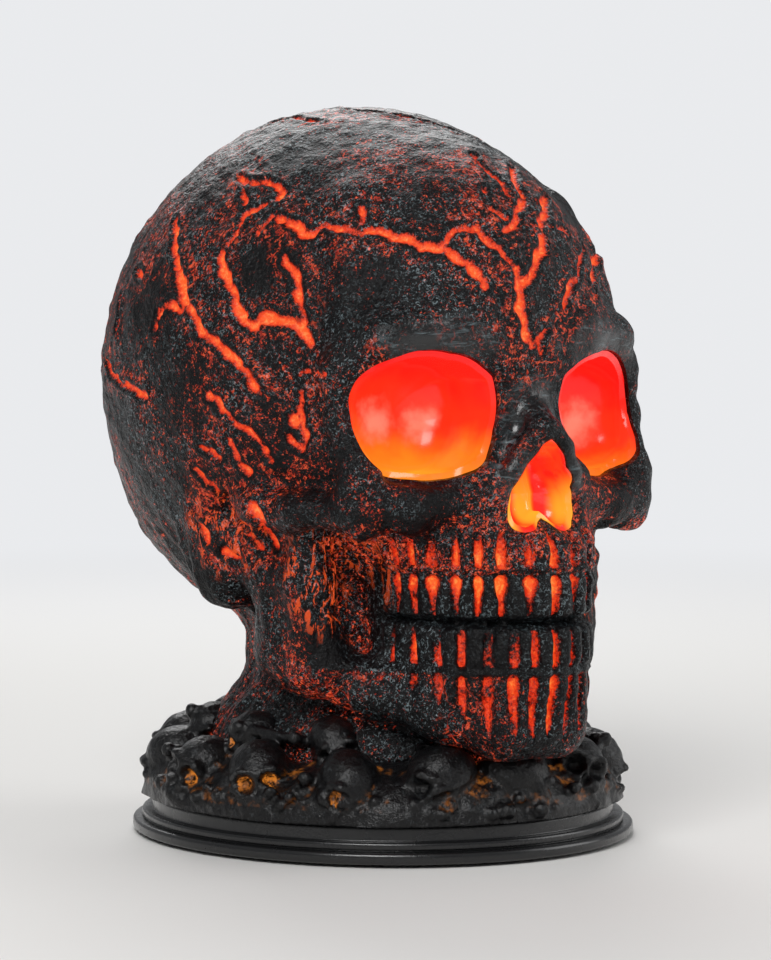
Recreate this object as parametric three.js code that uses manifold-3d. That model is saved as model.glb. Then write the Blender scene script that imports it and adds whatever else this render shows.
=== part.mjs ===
// Skull lamp: a hollow painted skull moulding on an oval plinth, lit from inside by battery LEDs.
// Millimetres, +Z up. The origin is the centre of the plinth on the surface that it stands on.
// The face looks along -Y, so the skull's own right side is at -X.

import * as THREE from 'three';
import { mergeVertices } from 'three/addons/utils/BufferGeometryUtils.js';
import Module from 'manifold-3d';

const wasm = await Module();
wasm.setup();

// Fits shared by all pieces
const fitGap = 0.3;
const ringGap = 0.45;
const cutOverrun = 4;

// Plinth and the closing cover below it
const plinthSideMargin = 2.8;
const plinthEndMargin = 3;
const plinthLift = 1;
const plinthHeight = 10.4;
const plinthWall = 8;
const plinthTopPlate = 3;
const openingClearance = 5.3;
const rimLedgeHeight = 3.4;
const rimLedgeStep = 3.2;
const rimBeadHeight = 2.6;
const rimBeadStep = 3;
const coverThickness = 2.4;
const coverRecess = 1.4;
const rubberFootRadius = 6.5;
const rubberFootInset = 12;

// Skull moulding
const headBreadth = 145;
const headLength = 175;
const headHeight = 215;
const headSetback = 12.5;
const shellWall = 4.6;
const footSideSeat = 10;
const footEndSeat = 14;
const footRise = 18;
const neckBreadth = 80;
const neckLength = 85;
const neckRise = 42;
const neckSetback = 3;

// Windows that close the eye sockets and the nose opening
const socketWidth = 43;
const socketHeight = 38;
const socketDepth = 13;
const noseWidth = 24.5;
const noseHeight = 28;
const noseDepth = 10;
const windowWall = 2.2;

// Ring of small skulls round the neck
const pileSideWidth = 19.5;
const pileEndWidth = 21.5;
const pileHeight = 32;
const smallSkullRadius = 10.5;
const smallSkullCount = 15;
const upperSkullCount = 9;

// Cells, their bay and contacts
const cellRadius = 7.25;
const cellLength = 49.2;
const cellNubRadius = 2.75;
const cellNubLength = 1.3;
const cellPitch = 15.2;
const cellCount = 3;
const bayWall = 1.8;
const bayDepth = 15.6;
const contactThickness = 0.6;
const contactLift = 2;
const contactHeight = 11.5;
const contactWidth = 11;
const springLength = 3.6;
const springRadius = 3.4;
const tabWidth = 4;
const tabRise = 3;

// Battery door and its latch
const doorThickness = 1.6;
const doorPinRadius = 0.5;
const doorPinReach = 1.4;
const doorLatchWidth = 12;
const doorLatchThickness = 1.2;
const doorLatchHeight = 1.4;
const thumbNotchRadius = 6;
const thumbNotchDepth = 1;

// Slide switch
const switchLength = 15;
const switchWidth = 8;
const switchHeight = 3;
const switchRoof = 1;
const knobLength = 5;
const knobWidth = 3.4;
const knobReach = 1.2;
const knobFlange = 0.8;
const knobFlangeHeight = 1.2;
const switchTravel = 3;
const switchStandoff = 25.25;

// Light board, its posts and the lamps on it
const boardRadius = 20;
const boardThickness = 1.6;
const boardPostRadius = 3;
const boardPostHeight = 6;
const boardPostSpread = 14;
const ledRadius = 2.5;
const ledHeight = 8.6;
const ledFlangeRadius = 2.95;
const ledFlangeHeight = 1;
const ledSpread = 11;
const ledCount = 4;
const chipLength = 5;
const chipWidth = 4;
const chipHeight = 1.5;

// Screws and wires
const screwRadius = 1.4;
const screwHeadRadius = 2.8;
const screwHeadHeight = 1.6;
const coverScrewLength = 5;
const shellScrewLength = 12;
const boardScrewLength = 6;
const bossRadius = 4.2;
const shellBossHeight = 15;
const wireRadius = 0.8;
const wireLoop = 6;

// Derived levels
const plinthTop = plinthLift + plinthHeight;
const coverBottom = plinthLift + coverRecess;
const coverTop = coverBottom + coverThickness;
const plinthUnderside = plinthTop - plinthTopPlate;
const doorAxisHeight = coverBottom + coverThickness / 2;
const bayFloor = doorAxisHeight + doorThickness / 2 + fitGap;
const bayCeiling = bayFloor + bayDepth;
const bayTop = bayCeiling + bayWall;
const bayWidth = cellCount * cellPitch + fitGap;
const bayLength = cellLength + cellNubLength + springLength + 2 * contactThickness + 2 * fitGap;
const cellAxisHeight = bayCeiling - fitGap - cellRadius;
const boardBottom = bayTop + boardPostHeight;
const boardTop = boardBottom + boardThickness;

// Derived widths, from the bay outwards: the plinth's opening clears the bay, the moulding's foot
// stands round the opening, the ring stands round the foot, and the plinth carries the ring
const bayEnd = bayLength / 2;
const plinthOpening = 2 * (Math.hypot(bayWidth / 2 + bayWall, bayEnd + bayWall) + openingClearance);
const footBreadth = plinthOpening + 2 * footSideSeat;
const footLength = plinthOpening + 2 * footEndSeat;
const pileBreadth = footBreadth + 2 * pileSideWidth;
const pileLength = footLength + 2 * pileEndWidth;
const plinthWidth = pileBreadth + 2 * plinthSideMargin;
const plinthDepth = pileLength + 2 * plinthEndMargin;
const plinthLengthening = plinthDepth / plinthWidth;
const switchOffset = bayEnd + bayWall + switchStandoff;

// Finishes
const colour = (hex, roughness, metalness = 0) =>
  new THREE.MeshStandardMaterial({ color: hex, roughness, metalness });
const paintedShell = colour(0x15161a, 0.42);
const glowWindow = colour(0xe8401a, 0.35);
const plinthBlack = colour(0x0d0e10, 0.34);
const coverBlack = colour(0x17181b, 0.6);
const rubberBlack = colour(0x101010, 0.9);
const cellJacket = colour(0x3a4a3c, 0.4);
const springSteel = colour(0xb9bcc0, 0.3, 1);
const boardGreen = colour(0x1f5a38, 0.5);
const ledClear = colour(0xff7a2a, 0.15);
const switchWhite = colour(0xd8d6cf, 0.5);
const wireRed = colour(0xa81d18, 0.5);
const wireBlack = colour(0x141414, 0.5);

// Solids: a closed geometry becomes a solid, and a solid becomes a named mesh
function solidOf(geometry) {
  const bare = geometry.index ? geometry.toNonIndexed() : geometry.clone();
  bare.deleteAttribute('normal');
  bare.deleteAttribute('uv');
  const merged = mergeVertices(bare, fitGap / 1000);
  return new wasm.Manifold(new wasm.Mesh({
    numProp: 3,
    vertProperties: new Float32Array(merged.attributes.position.array),
    triVerts: new Uint32Array(merged.index.array),
  }));
}

function geometryOf(solid) {
  const mesh = solid.getMesh();
  const geometry = new THREE.BufferGeometry();
  geometry.setAttribute('position', new THREE.BufferAttribute(mesh.vertProperties, 3));
  geometry.setIndex(new THREE.BufferAttribute(mesh.triVerts, 1));
  return geometry;
}

const lamp = new THREE.Group();

function place(name, shape, material, position = [0, 0, 0], parent = lamp) {
  const geometry = shape.getMesh ? geometryOf(shape) : shape;
  const mesh = new THREE.Mesh(geometry, material);
  mesh.name = name;
  mesh.position.set(...position);
  parent.add(mesh);
  return mesh;
}

// Plain shapes, standing on their lowest face
function block(width, depth, height, x = 0, y = 0, z = 0) {
  return new THREE.BoxGeometry(width, depth, height).translate(x, y, z + height / 2);
}

function upright(radius, height, x = 0, y = 0, z = 0, sides = 16) {
  return new THREE.CylinderGeometry(radius, radius, height, sides)
    .rotateX(Math.PI / 2).translate(x, y, z + height / 2);
}

function turned(profile, sides) {
  const points = profile.map(([radius, height]) => new THREE.Vector2(radius, height));
  return new THREE.LatheGeometry(points, sides).rotateX(Math.PI / 2);
}

// Skull form: a smooth blend of named lumps, less a few smooth hollows.
// A place is a share of half the head's breadth, of half its length from the middle of the
// vault, and of its height above the plinth. A radius is a share of half the breadth, and an
// egg's three radii follow the three directions. The blend is a share of half the breadth.
const halfBreadth = headBreadth / 2;
const halfLength = headLength / 2;

function onHead([x, y, z]) {
  return [x * halfBreadth, headSetback + y * halfLength, plinthTop + z * headHeight];
}

function blend(a, b, width) {
  const mix = Math.min(Math.max(0.5 + (b - a) / (2 * width), 0), 1);
  return b * (1 - mix) + a * mix - width * mix * (1 - mix);
}

function carve(form, hollow, width) {
  return -blend(-form, hollow, width);
}

function egg(share) {
  const centre = onHead(share.at);
  const radii = [share.size[0] * halfBreadth, share.size[1] * halfLength, share.size[2] * headHeight];
  return (x, y, z) => {
    const a = (x - centre[0]) / radii[0];
    const b = (y - centre[1]) / radii[1];
    const c = (z - centre[2]) / radii[2];
    const reach = Math.hypot(a, b, c);
    const slope = Math.hypot(a / radii[0], b / radii[1], c / radii[2]) + 1 / (halfBreadth * 1e6);
    return reach * (reach - 1) / slope;
  };
}

function bar(from, to) {
  const a = onHead(from);
  const b = onHead(to);
  const along = [b[0] - a[0], b[1] - a[1], b[2] - a[2]];
  const square = along[0] ** 2 + along[1] ** 2 + along[2] ** 2;
  const start = from[3] * halfBreadth;
  const growth = (to[3] - from[3]) * halfBreadth;
  return (x, y, z) => {
    const dot = (x - a[0]) * along[0] + (y - a[1]) * along[1] + (z - a[2]) * along[2];
    const t = Math.min(Math.max(dot / square, 0), 1);
    return Math.hypot(x - a[0] - t * along[0], y - a[1] - t * along[1], z - a[2] - t * along[2])
      - start - t * growth;
  };
}

function ridge(share) {
  const bars = share.through.slice(1).map((end, i) => bar(share.through[i], end));
  const width = (share.joint ?? 0.05) * halfBreadth;
  return (x, y, z) => bars.map((part) => part(x, y, z)).reduce((a, b) => blend(a, b, width));
}

const lumpShares = [
  { at: [0, 0.035, 0.607], size: [1.04, 1.045, 0.393], blend: 0.1 },
  { at: [0, 0.38, 0.468], size: [0.74, 0.57, 0.195], blend: 0.16 },
  { at: [0, -0.42, 0.68], size: [0.7, 0.64, 0.26], blend: 0.12 },
  { at: [0, -0.6, 0.495], size: [0.67, 0.41, 0.167], blend: 0.16 },
  { at: [0, -0.8, 0.365], size: [0.41, 0.33, 0.1], blend: 0.14 },
];
const templeShare = { at: [1.04, -0.69, 0.58], size: [0.29, 0.23, 0.1], blend: 0.14 };
const ridgeShares = {
  brow: { blend: 0.17, through: [[0.04, -0.93, 0.645, 0.07], [0.33, -0.93, 0.675, 0.085],
    [0.58, -0.82, 0.66, 0.07], [0.71, -0.74, 0.61, 0.052]] },
  outerRim: { blend: 0.12, through: [[0.72, -0.775, 0.61, 0.048], [0.725, -0.78, 0.55, 0.048],
    [0.685, -0.855, 0.477, 0.085]] },
  lowerRim: { blend: 0.12, through: [[0.68, -0.84, 0.437, 0.095], [0.5, -0.92, 0.432, 0.088],
    [0.25, -0.98, 0.448, 0.075]] },
  cheekArch: { blend: 0.12, through: [[0.665, -0.8, 0.418, 0.11], [0.78, -0.64, 0.42, 0.082],
    [0.84, -0.44, 0.43, 0.07], [0.82, -0.23, 0.44, 0.075]] },
  noseBridge: { blend: 0.1, through: [[0, -0.9, 0.607, 0.069], [0, -0.955, 0.57, 0.066],
    [0, -1.055, 0.549, 0.058], [0, -1.12, 0.538, 0.047]] },
  noseSide: { blend: 0.08, through: [[0.07, -0.9, 0.607, 0.062], [0.12, -0.94, 0.566, 0.062],
    [0.15, -0.99, 0.524, 0.062], [0.21, -1.01, 0.477, 0.062], [0.22, -1.02, 0.403, 0.062]] },
  noseRim: { blend: 0.06, through: [[0.02, -1.12, 0.538, 0.044], [0.11, -1.11, 0.517, 0.044],
    [0.18, -1.09, 0.487, 0.044], [0.21, -1.055, 0.445, 0.044], [0.21, -1.05, 0.417, 0.047],
    [0.17, -1.05, 0.389, 0.05]] },
  templeLine: { blend: 0.1, through: [[0.69, -0.77, 0.635, 0.04], [0.59, -0.7, 0.765, 0.045],
    [0.51, -0.575, 0.863, 0.045], [0.49, -0.26, 0.94, 0.04]] },
  jaw: { blend: 0.08, joint: 0.08, through: [[0, -1.01, 0.135, 0.145], [0.22, -0.98, 0.135, 0.155],
    [0.42, -0.8, 0.165, 0.14], [0.57, -0.55, 0.2, 0.13], [0.63, -0.37, 0.228, 0.12]] },
};
const mastoidShare = { at: [0.73, -0.085, 0.375], size: [0.165, 0.16, 0.093], blend: 0.14 };
const ramusShare = { at: [0.665, -0.4, 0.3], size: [0.105, 0.2, 0.15], blend: 0.11 };
const cheekHollowShare = { at: [0.72, -0.71, 0.33], size: [0.27, 0.17, 0.077], blend: 0.11 };
const earShare = { at: [0.91, -0.27, 0.417], size: [0.15, 0.062, 0.03], blend: 0.055 };

// Horseshoe block that carries both rows of teeth
const toothBlockShare = { halfWidth: 0.42, centre: -0.665, depth: 0.49, back: -0.4, low: 0.155,
  high: 0.395, blend: 0.06 };

// Neck, and the wider foot that hides inside the ring of small skulls
const neckShare = { top: 0.41, topBlend: 0.14, blend: 0.1 };

function neckForm(x, y, z) {
  const rise = (z - plinthTop - footRise) / (neckRise - footRise);
  const taper = THREE.MathUtils.smoothstep(rise, 0, 1);
  const wide = THREE.MathUtils.lerp(footBreadth, neckBreadth, taper) / 2;
  const long = THREE.MathUtils.lerp(footLength, neckLength, taper) / 2;
  const reach = Math.hypot(x / wide, (y - neckSetback * taper) / long);
  const neckTop = onHead([0, 0, neckShare.top])[2];
  return carve((reach - 1) * wide, neckTop - z, neckShare.topBlend * halfBreadth);
}

const lumps = lumpShares.map((share) => [egg(share), share.blend * halfBreadth]);
const ridges = Object.fromEntries(Object.entries(ridgeShares)
  .map(([name, share]) => [name, [ridge(share), share.blend * halfBreadth]]));
const temple = egg(templeShare);
const mastoid = egg(mastoidShare);
const ramus = egg(ramusShare);
const cheekHollow = egg(cheekHollowShare);
const ear = egg(earShare);

const faceRidges = ['templeLine', 'brow', 'outerRim', 'lowerRim', 'cheekArch', 'noseBridge', 'noseSide',
  'noseRim'];

function toothBlock(x, y, z) {
  const share = toothBlockShare;
  const [wide, middle] = onHead([share.halfWidth, share.centre, 0]);
  const back = onHead([0, share.back, 0])[1];
  const low = onHead([0, 0, share.low])[2];
  const high = onHead([0, 0, share.high])[2];
  const reach = Math.hypot(x / wide, (Math.min(y, middle) - middle) / (share.depth * halfLength));
  const width = share.blend * halfBreadth;
  const fromBack = carve((reach - 1) * wide, back - y, width);
  return carve(fromBack, (high - low) / 2 - Math.abs(z - (low + high) / 2), width);
}

const farAway = 3 * (headBreadth + headLength);

function skullForm(side, y, z) {
  const x = Math.abs(side);
  const add = (form, [part, width]) => blend(form, part(x, y, z), width);
  let form = lumps.reduce(add, farAway);
  form = carve(form, temple(x, y, z), templeShare.blend * halfBreadth);
  for (const name of faceRidges) form = add(form, ridges[name]);
  form = blend(form, mastoid(x, y, z), mastoidShare.blend * halfBreadth);
  form = carve(form, cheekHollow(x, y, z), cheekHollowShare.blend * halfBreadth);
  form = blend(form, toothBlock(x, y, z), toothBlockShare.blend * halfBreadth);
  const lowerJaw = blend(ridges.jaw[0](x, y, z), ramus(x, y, z), ramusShare.blend * halfBreadth);
  form = blend(form, lowerJaw, ridges.jaw[1]);
  form = blend(form, neckForm(x, y, z), neckShare.blend * halfBreadth);
  return carve(form, ear(x, y, z), earShare.blend * halfBreadth);
}

// A closed skin over a form: upright rows of points round a bent core, and a dome on top.
// Each point slides in along its own ray until it meets the form at the given level.
const coreShares = [[0, 0], [0.06, -0.11], [0.15, -0.19], [0.22, -0.35], [0.4, -0.37], [0.53, -0.14],
  [0.607, 0]];

function coreSetback(z) {
  const share = (z - plinthTop) / headHeight;
  const next = coreShares.findIndex(([height]) => height > share);
  if (next < 0) return headSetback + coreShares.at(-1)[1] * halfLength;
  if (next === 0) return headSetback + coreShares[0][1] * halfLength;
  const [lowHeight, lowShare] = coreShares[next - 1];
  const [highHeight, highShare] = coreShares[next];
  const mix = (share - lowHeight) / (highHeight - lowHeight);
  return headSetback + THREE.MathUtils.lerp(lowShare, highShare, mix) * halfLength;
}

// Rows of points, lowest first, then the middle of the bottom and of the top
function closedRows(points, columns, last) {
  const faces = [];
  const bottomPoint = points.length / 3 - 2;
  for (let column = 0; column < columns; column += 1) {
    const next = (column + 1) % columns;
    for (let row = 0; row < last; row += 1) {
      const low = row * columns;
      const high = low + columns;
      faces.push(low + column, low + next, high + next, low + column, high + next, high + column);
    }
    faces.push(bottomPoint, next, column);
    faces.push(last * columns + column, last * columns + next, bottomPoint + 1);
  }
  const geometry = new THREE.BufferGeometry();
  geometry.setAttribute('position', new THREE.Float32BufferAttribute(points, 3));
  geometry.setIndex(faces);
  return solidOf(geometry);
}

const slideSteps = 60;
const slideShare = 0.8;

function slide(origin, ray, form, level) {
  let reach = headLength;
  for (let step = 0; step < slideSteps; step += 1) {
    const gap = form(...origin.map((value, axis) => value + ray[axis] * reach));
    reach -= (gap - level) * slideShare;
  }
  return Math.max(reach, shellWall);
}

// Each reach drawn a little towards those of its four neighbours, so that no facet stands up alone
const easedShare = 0.5;

function eased(reaches) {
  const last = reaches.length - 1;
  return reaches.map((row, i) => row.map((reach, j) => {
    const beside = row[(j + 1) % row.length] + row[(j + row.length - 1) % row.length];
    const above = reaches[Math.min(i + 1, last)][j] + reaches[Math.max(i - 1, 0)][j];
    return reach * (1 - easedShare) + (beside + above) * easedShare / 4;
  }));
}

const faceCrowdingShare = 0.4;

function skin(form, level, bottom, { columns, rows, domeRows }) {
  const domeBase = onHead([0, 0, coreShares.at(-1)[0]])[2];
  const rings = [];
  for (let row = 0; row <= rows; row += 1) {
    rings.push([bottom + (domeBase - bottom) * row / rows, 0]);
  }
  for (let row = 1; row < domeRows; row += 1) rings.push([domeBase, row / domeRows * Math.PI / 2]);
  const rays = rings.map(([height, lift]) => Array.from({ length: columns }, (_, column) => {
    const even = column / columns * Math.PI * 2;
    const turn = even - faceCrowdingShare * Math.sin(even);
    const ray = [Math.sin(turn) * Math.cos(lift), -Math.cos(turn) * Math.cos(lift), Math.sin(lift)];
    return { origin: [0, coreSetback(height), height], ray };
  }));
  const reaches = eased(rays.map((row) => row.map(({ origin, ray }) => slide(origin, ray, form, level))));
  const points = rays.flatMap((row, i) => row.flatMap(({ origin, ray }, j) =>
    origin.map((value, axis) => value + ray[axis] * reaches[i][j])));
  const middle = [0, coreSetback(domeBase), domeBase];
  points.push(0, coreSetback(bottom), bottom);
  points.push(middle[0], middle[1], middle[2] + slide(middle, [0, 0, 1], form, level));
  return closedRows(points, columns, rings.length - 1);
}

// Hollow moulding, parted at its widest plane into a front and a back half
const outerCounts = { columns: 56, rows: 36, domeRows: 8 };
const innerCounts = { columns: 30, rows: 18, domeRows: 4 };
const leastWallCounts = { ...outerCounts, rows: outerCounts.rows + 1 };
const outerSkin = skin(skullForm, 0, plinthTop, outerCounts);
const innerSkin = skin(skullForm, -shellWall, plinthTop - cutOverrun, innerCounts);
const leastWall = skin(skullForm, -shellWall / 2, plinthTop - cutOverrun, leastWallCounts);

// Crowns of both rows of teeth, and the roots of the lower row, round the front of the tooth block
const crownTurns = [0.13, 0.39, 0.61, 0.8, 0.98, 1.16];
const toothShares = [
  { level: 0.31, size: [0.05, 0.055, 0.031] },
  { level: 0.24, size: [0.046, 0.048, 0.03] },
  { level: 0.18, size: [0.042, 0.04, 0.034] },
];
const teeth = toothShares.flatMap(({ level, size }) => crownTurns.flatMap((turn) => [-1, 1].map((side) => {
  const { halfWidth, centre, depth } = toothBlockShare;
  const place = onHead([side * Math.sin(turn) * halfWidth, centre - Math.cos(turn) * depth, level]);
  const [across, through, up] = size;
  const crown = new THREE.SphereGeometry(1, 8, 6).rotateX(Math.PI / 2);
  crown.scale(across * halfBreadth, through * halfBreadth, up * headHeight).rotateZ(side * turn);
  return solidOf(crown.translate(...place));
})));

// A round thread along a smooth curve through some spots
function threadAlong(spots, radius, steps, curveSegments) {
  const section = new THREE.Shape();
  section.absarc(0, 0, radius, 0, Math.PI * 2, false);
  const extrudePath = new THREE.CatmullRomCurve3(spots, false, 'centripetal');
  return new THREE.ExtrudeGeometry(section, { steps, extrudePath, curveSegments });
}

// Main cracks of the paint, as shallow grooves: each route is a list of turns from the face and
// lifts from the level of the vault's middle, in degrees, with the skull's right side negative
const crackRadius = 1.9;
const crackStepLength = 7;
const crackRoutes = [
  [[-58, 39], [-44, 37], [-31, 36], [-15, 31], [-1, 21]],
  [[29, 36], [20, 28], [8, 17], [9, 7]],
  [[-104, 38], [-91, 28], [-78, 14], [-66, 5], [-55, -5]],
  [[-73, 29], [-65, 17], [-57, 13], [-45, 7]],
  [[-47, 12], [-50, 24], [-54, 28]],
  [[67, 35], [53, 34], [40, 33], [24, 28]],
  [[113, 35], [100, 25], [87, 11], [75, 2], [64, -8]],
  [[82, 26], [74, 14], [66, 10], [54, 4]],
  [[-128, 35], [-140, 28], [-150, 30], [-160, 22], [-172, 20], [-182, 10]],
  [[150, 48], [148, 36], [156, 26], [150, 14], [140, 6], [138, -8]],
  [[60, 62], [85, 66], [110, 60], [128, 52]],
  [[-60, 70], [-90, 74], [-130, 66]],
];
const vaultMiddle = onHead([0, 0, coreShares.at(-1)[0]]);
const cracks = crackRoutes.map((route) => {
  const spots = route.map(([turn, lift]) => {
    const [a, b] = [THREE.MathUtils.degToRad(turn), THREE.MathUtils.degToRad(lift)];
    const ray = [Math.sin(a) * Math.cos(b), -Math.cos(a) * Math.cos(b), Math.sin(b)];
    const reach = slide(vaultMiddle, ray, skullForm, 0);
    return new THREE.Vector3(...vaultMiddle.map((value, axis) => value + ray[axis] * reach));
  });
  const length = new THREE.CatmullRomCurve3(spots).getLength();
  return solidOf(threadAlong(spots, crackRadius, Math.round(length / crackStepLength), 2));
});

const withTeeth = teeth.reduce((body, tooth) => body.add(tooth), outerSkin);
const cracked = cracks.reduce((body, crack) => body.subtract(crack), withTeeth);
const moulding = cracked.subtract(innerSkin.intersect(leastWall));

const shellBossPlaces = [[-1, -1], [1, -1], [1, 1], [-1, 1]].map(([sx, sy]) => {
  const turn = Math.PI / 4;
  const inset = shellWall + fitGap;
  return [sx * Math.cos(turn) * (footBreadth / 2 - inset), sy * Math.sin(turn) * (footLength / 2 - inset)];
});

function withBosses(shell, places) {
  return places.reduce((body, [x, y]) => {
    const boss = solidOf(upright(bossRadius, shellBossHeight, x, y, plinthTop));
    const hole = solidOf(upright(screwRadius + fitGap / 2, shellScrewLength + fitGap, x, y,
      plinthUnderside, 10));
    return body.add(boss).subtract(hole);
  }, shell);
}

// A window is a thin cup: straight walls at the front, trimmed by the skull's own surface, and
// a bowl behind them. Its outline is a list of points on the unit square.
const socketShare = { at: [0.413, -0.806, 0.556], power: 2.6, front: 3, bowl: 2.4,
  bowlRings: [0.92, 0.72, 0.4], corners: 20 };
const noseShare = { at: [0, -1.055, 0.46] };

const socketOutline = Array.from({ length: socketShare.corners }, (_, i) => {
  const turn = i / socketShare.corners * Math.PI * 2;
  const bend = (value) => Math.sign(value) * Math.abs(value) ** (2 / socketShare.power);
  return [bend(Math.cos(turn)), bend(Math.sin(turn))];
});

const pear = new THREE.Shape();
pear.moveTo(0, 1);
pear.bezierCurveTo(-0.5, 1, -0.6, 0.2, -1, -0.35);
pear.bezierCurveTo(-1.1, -1, -0.4, -1.1, 0, -0.75);
pear.bezierCurveTo(0.4, -1.1, 1.1, -1, 1, -0.35);
pear.bezierCurveTo(0.6, 0.2, 0.5, 1, 0, 1);
const pearOutline = pear.getPoints(4).slice(0, -1).map((point) => [point.x, point.y]);

function cup(outline, width, height, depth, ease, centre) {
  const bowl = socketShare.bowlRings
    .map((reach) => [depth * Math.sqrt(1 - reach ** socketShare.bowl), reach]);
  const rings = [[-socketShare.front * depth, 1], [0, 1], ...bowl];
  const points = rings.flatMap(([inward, reach]) => outline.flatMap(([across, up]) => [
    across * reach * (width / 2 - ease), inward - ease, up * reach * (height / 2 - ease)]));
  const count = outline.length;
  const front = points.length / 3;
  points.push(0, -socketShare.front * depth - ease, 0, 0, depth - ease, 0);
  const faces = [];
  for (let i = 0; i < count; i += 1) {
    const next = (i + 1) % count;
    for (let ring = 0; ring < rings.length - 1; ring += 1) {
      const near = ring * count;
      const far = near + count;
      faces.push(near + i, far + next, near + next, near + i, far + i, far + next);
    }
    const last = (rings.length - 1) * count;
    faces.push(front, i, next, front + 1, last + next, last + i);
  }
  const geometry = new THREE.BufferGeometry();
  geometry.setAttribute('position', new THREE.Float32BufferAttribute(points, 3));
  geometry.setIndex(faces);
  return solidOf(geometry.translate(...centre));
}

function socketCup(side, ease) {
  const [x, y, z] = onHead(socketShare.at);
  return cup(socketOutline, socketWidth, socketHeight, socketDepth, ease, [side * x, y, z]);
}

function noseCup(ease) {
  return cup(pearOutline, noseWidth, noseHeight, noseDepth, ease, onHead(noseShare.at));
}

function glowCup(make) {
  return make(fitGap).subtract(make(fitGap + windowWall)).intersect(outerSkin);
}

const halfSpace = (side) => solidOf(block(2 * headBreadth, 2 * headLength, 2 * headHeight,
  0, headSetback + side * headLength, 0));
const frontHalf = moulding.intersect(halfSpace(-1));
const backHalf = moulding.intersect(halfSpace(1));
const cups = [(ease) => socketCup(-1, ease), (ease) => socketCup(1, ease), noseCup];
const pierced = cups.reduce((body, make) => body.subtract(make(0)), frontHalf);

place('front_shell', withBosses(pierced, shellBossPlaces.slice(0, 2)), paintedShell);
place('back_shell', withBosses(backHalf, shellBossPlaces.slice(2)), paintedShell);
place('right_eye_window', glowCup(cups[0]), glowWindow);
place('left_eye_window', glowCup(cups[1]), glowWindow);
place('nose_window', glowCup(cups[2]), glowWindow);

// Ring of small skulls: a mound with two rows of rounded skulls, threaded over the neck
const pileShares = { skirt: 0.7, slope: 0.92, steepest: 0.34, waver: 0.03, waves: 5, blend: 0.2,
  columns: 48, lifts: 10 };
const skullRowShares = [
  { count: smallSkullCount, reach: 0.855, rise: 0.34, turn: 0.1, size: 1 },
  { count: upperSkullCount, reach: 0.7, rise: 0.72, turn: 0.45, size: 0.86 },
];
const smallSkulls = skullRowShares.flatMap(({ count, reach, rise, turn, size }) =>
  Array.from({ length: count }, (_, i) => {
    const angle = (i + turn) / count * Math.PI * 2;
    const spread = reach * (1 + pileShares.waver * Math.sin(pileShares.waves * angle + turn)) / 2;
    return [Math.sin(angle) * spread * pileBreadth, -Math.cos(angle) * spread * pileLength,
      plinthTop + rise * pileHeight, smallSkullRadius * size];
  }));

function pileForm(x, y, z) {
  const around = Math.hypot(x / pileBreadth, y / pileLength) * 2;
  const across = (around - pileShares.skirt) * pileBreadth / 2;
  const mound = Math.hypot(across, (z - plinthTop) * pileShares.slope)
    - (1 - pileShares.skirt) * pileBreadth / 2;
  return smallSkulls.reduce((form, [cx, cy, cz, radius]) =>
    blend(form, Math.hypot(x - cx, y - cy, z - cz) - radius, smallSkullRadius * pileShares.blend), mound);
}

function pileSkin() {
  const { columns, lifts, steepest } = pileShares;
  const centre = [0, 0, plinthTop];
  const rays = Array.from({ length: lifts + 1 }, (_, row) => Array.from({ length: columns }, (__, column) => {
    const lift = row / lifts * steepest * Math.PI;
    const turn = column / columns * Math.PI * 2;
    return [Math.sin(turn) * Math.cos(lift), -Math.cos(turn) * Math.cos(lift), Math.sin(lift)];
  }));
  const reaches = eased(rays.map((row) => row.map((ray) => slide(centre, ray, pileForm, 0))));
  const points = rays.flatMap((row, i) => row.flatMap((ray, j) =>
    centre.map((value, axis) => value + ray[axis] * reaches[i][j])));
  points.push(...centre, 0, 0, plinthTop + pileHeight);
  return closedRows(points, columns, lifts);
}

const neckClearance = skin(skullForm, ringGap, plinthTop, outerCounts);
place('small_skull_ring', pileSkin().subtract(neckClearance), paintedShell);

// Plinth: an oval turned tray, open below, with a wide hole in its top plate
function oval(profile, sides = 40) {
  return solidOf(turned(profile, sides).scale(1, plinthLengthening, 1));
}

const rim = plinthWidth / 2;
const ledge = rim - rimLedgeStep;
const bead = ledge - rimBeadStep;
const trayInside = rim - plinthWall;
const ledgeTop = plinthLift + rimLedgeHeight;
const beadTop = ledgeTop + rimBeadHeight;
const edge = rimBeadStep / 4;
const plinthBody = oval([
  [plinthOpening / 2, plinthUnderside], [trayInside, plinthUnderside], [trayInside, plinthLift],
  [rim - edge, plinthLift], [rim, plinthLift + edge], [rim, ledgeTop - edge], [rim - edge, ledgeTop],
  [ledge, ledgeTop], [ledge, beadTop - edge], [ledge - edge, beadTop], [bead, beadTop],
  [bead, plinthTop], [plinthOpening / 2, plinthTop], [plinthOpening / 2, plinthUnderside],
]);

function ovalPlace(reach, turn) {
  return [Math.cos(turn) * reach, Math.sin(turn) * reach * plinthLengthening];
}

const quarters = [[-1, -1], [1, -1], [1, 1], [-1, 1]];
const mirrored = ([x, y]) => quarters.map(([sx, sy]) => [sx * x, sy * y]);
const screwTurn = Math.PI / 5;
const footTurn = Math.PI * 0.28;
const coverScrewPlaces = mirrored(ovalPlace(trayInside - 2 * bossRadius, screwTurn));
const footPlaces = mirrored(ovalPlace(trayInside - rubberFootInset, footTurn));

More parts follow.
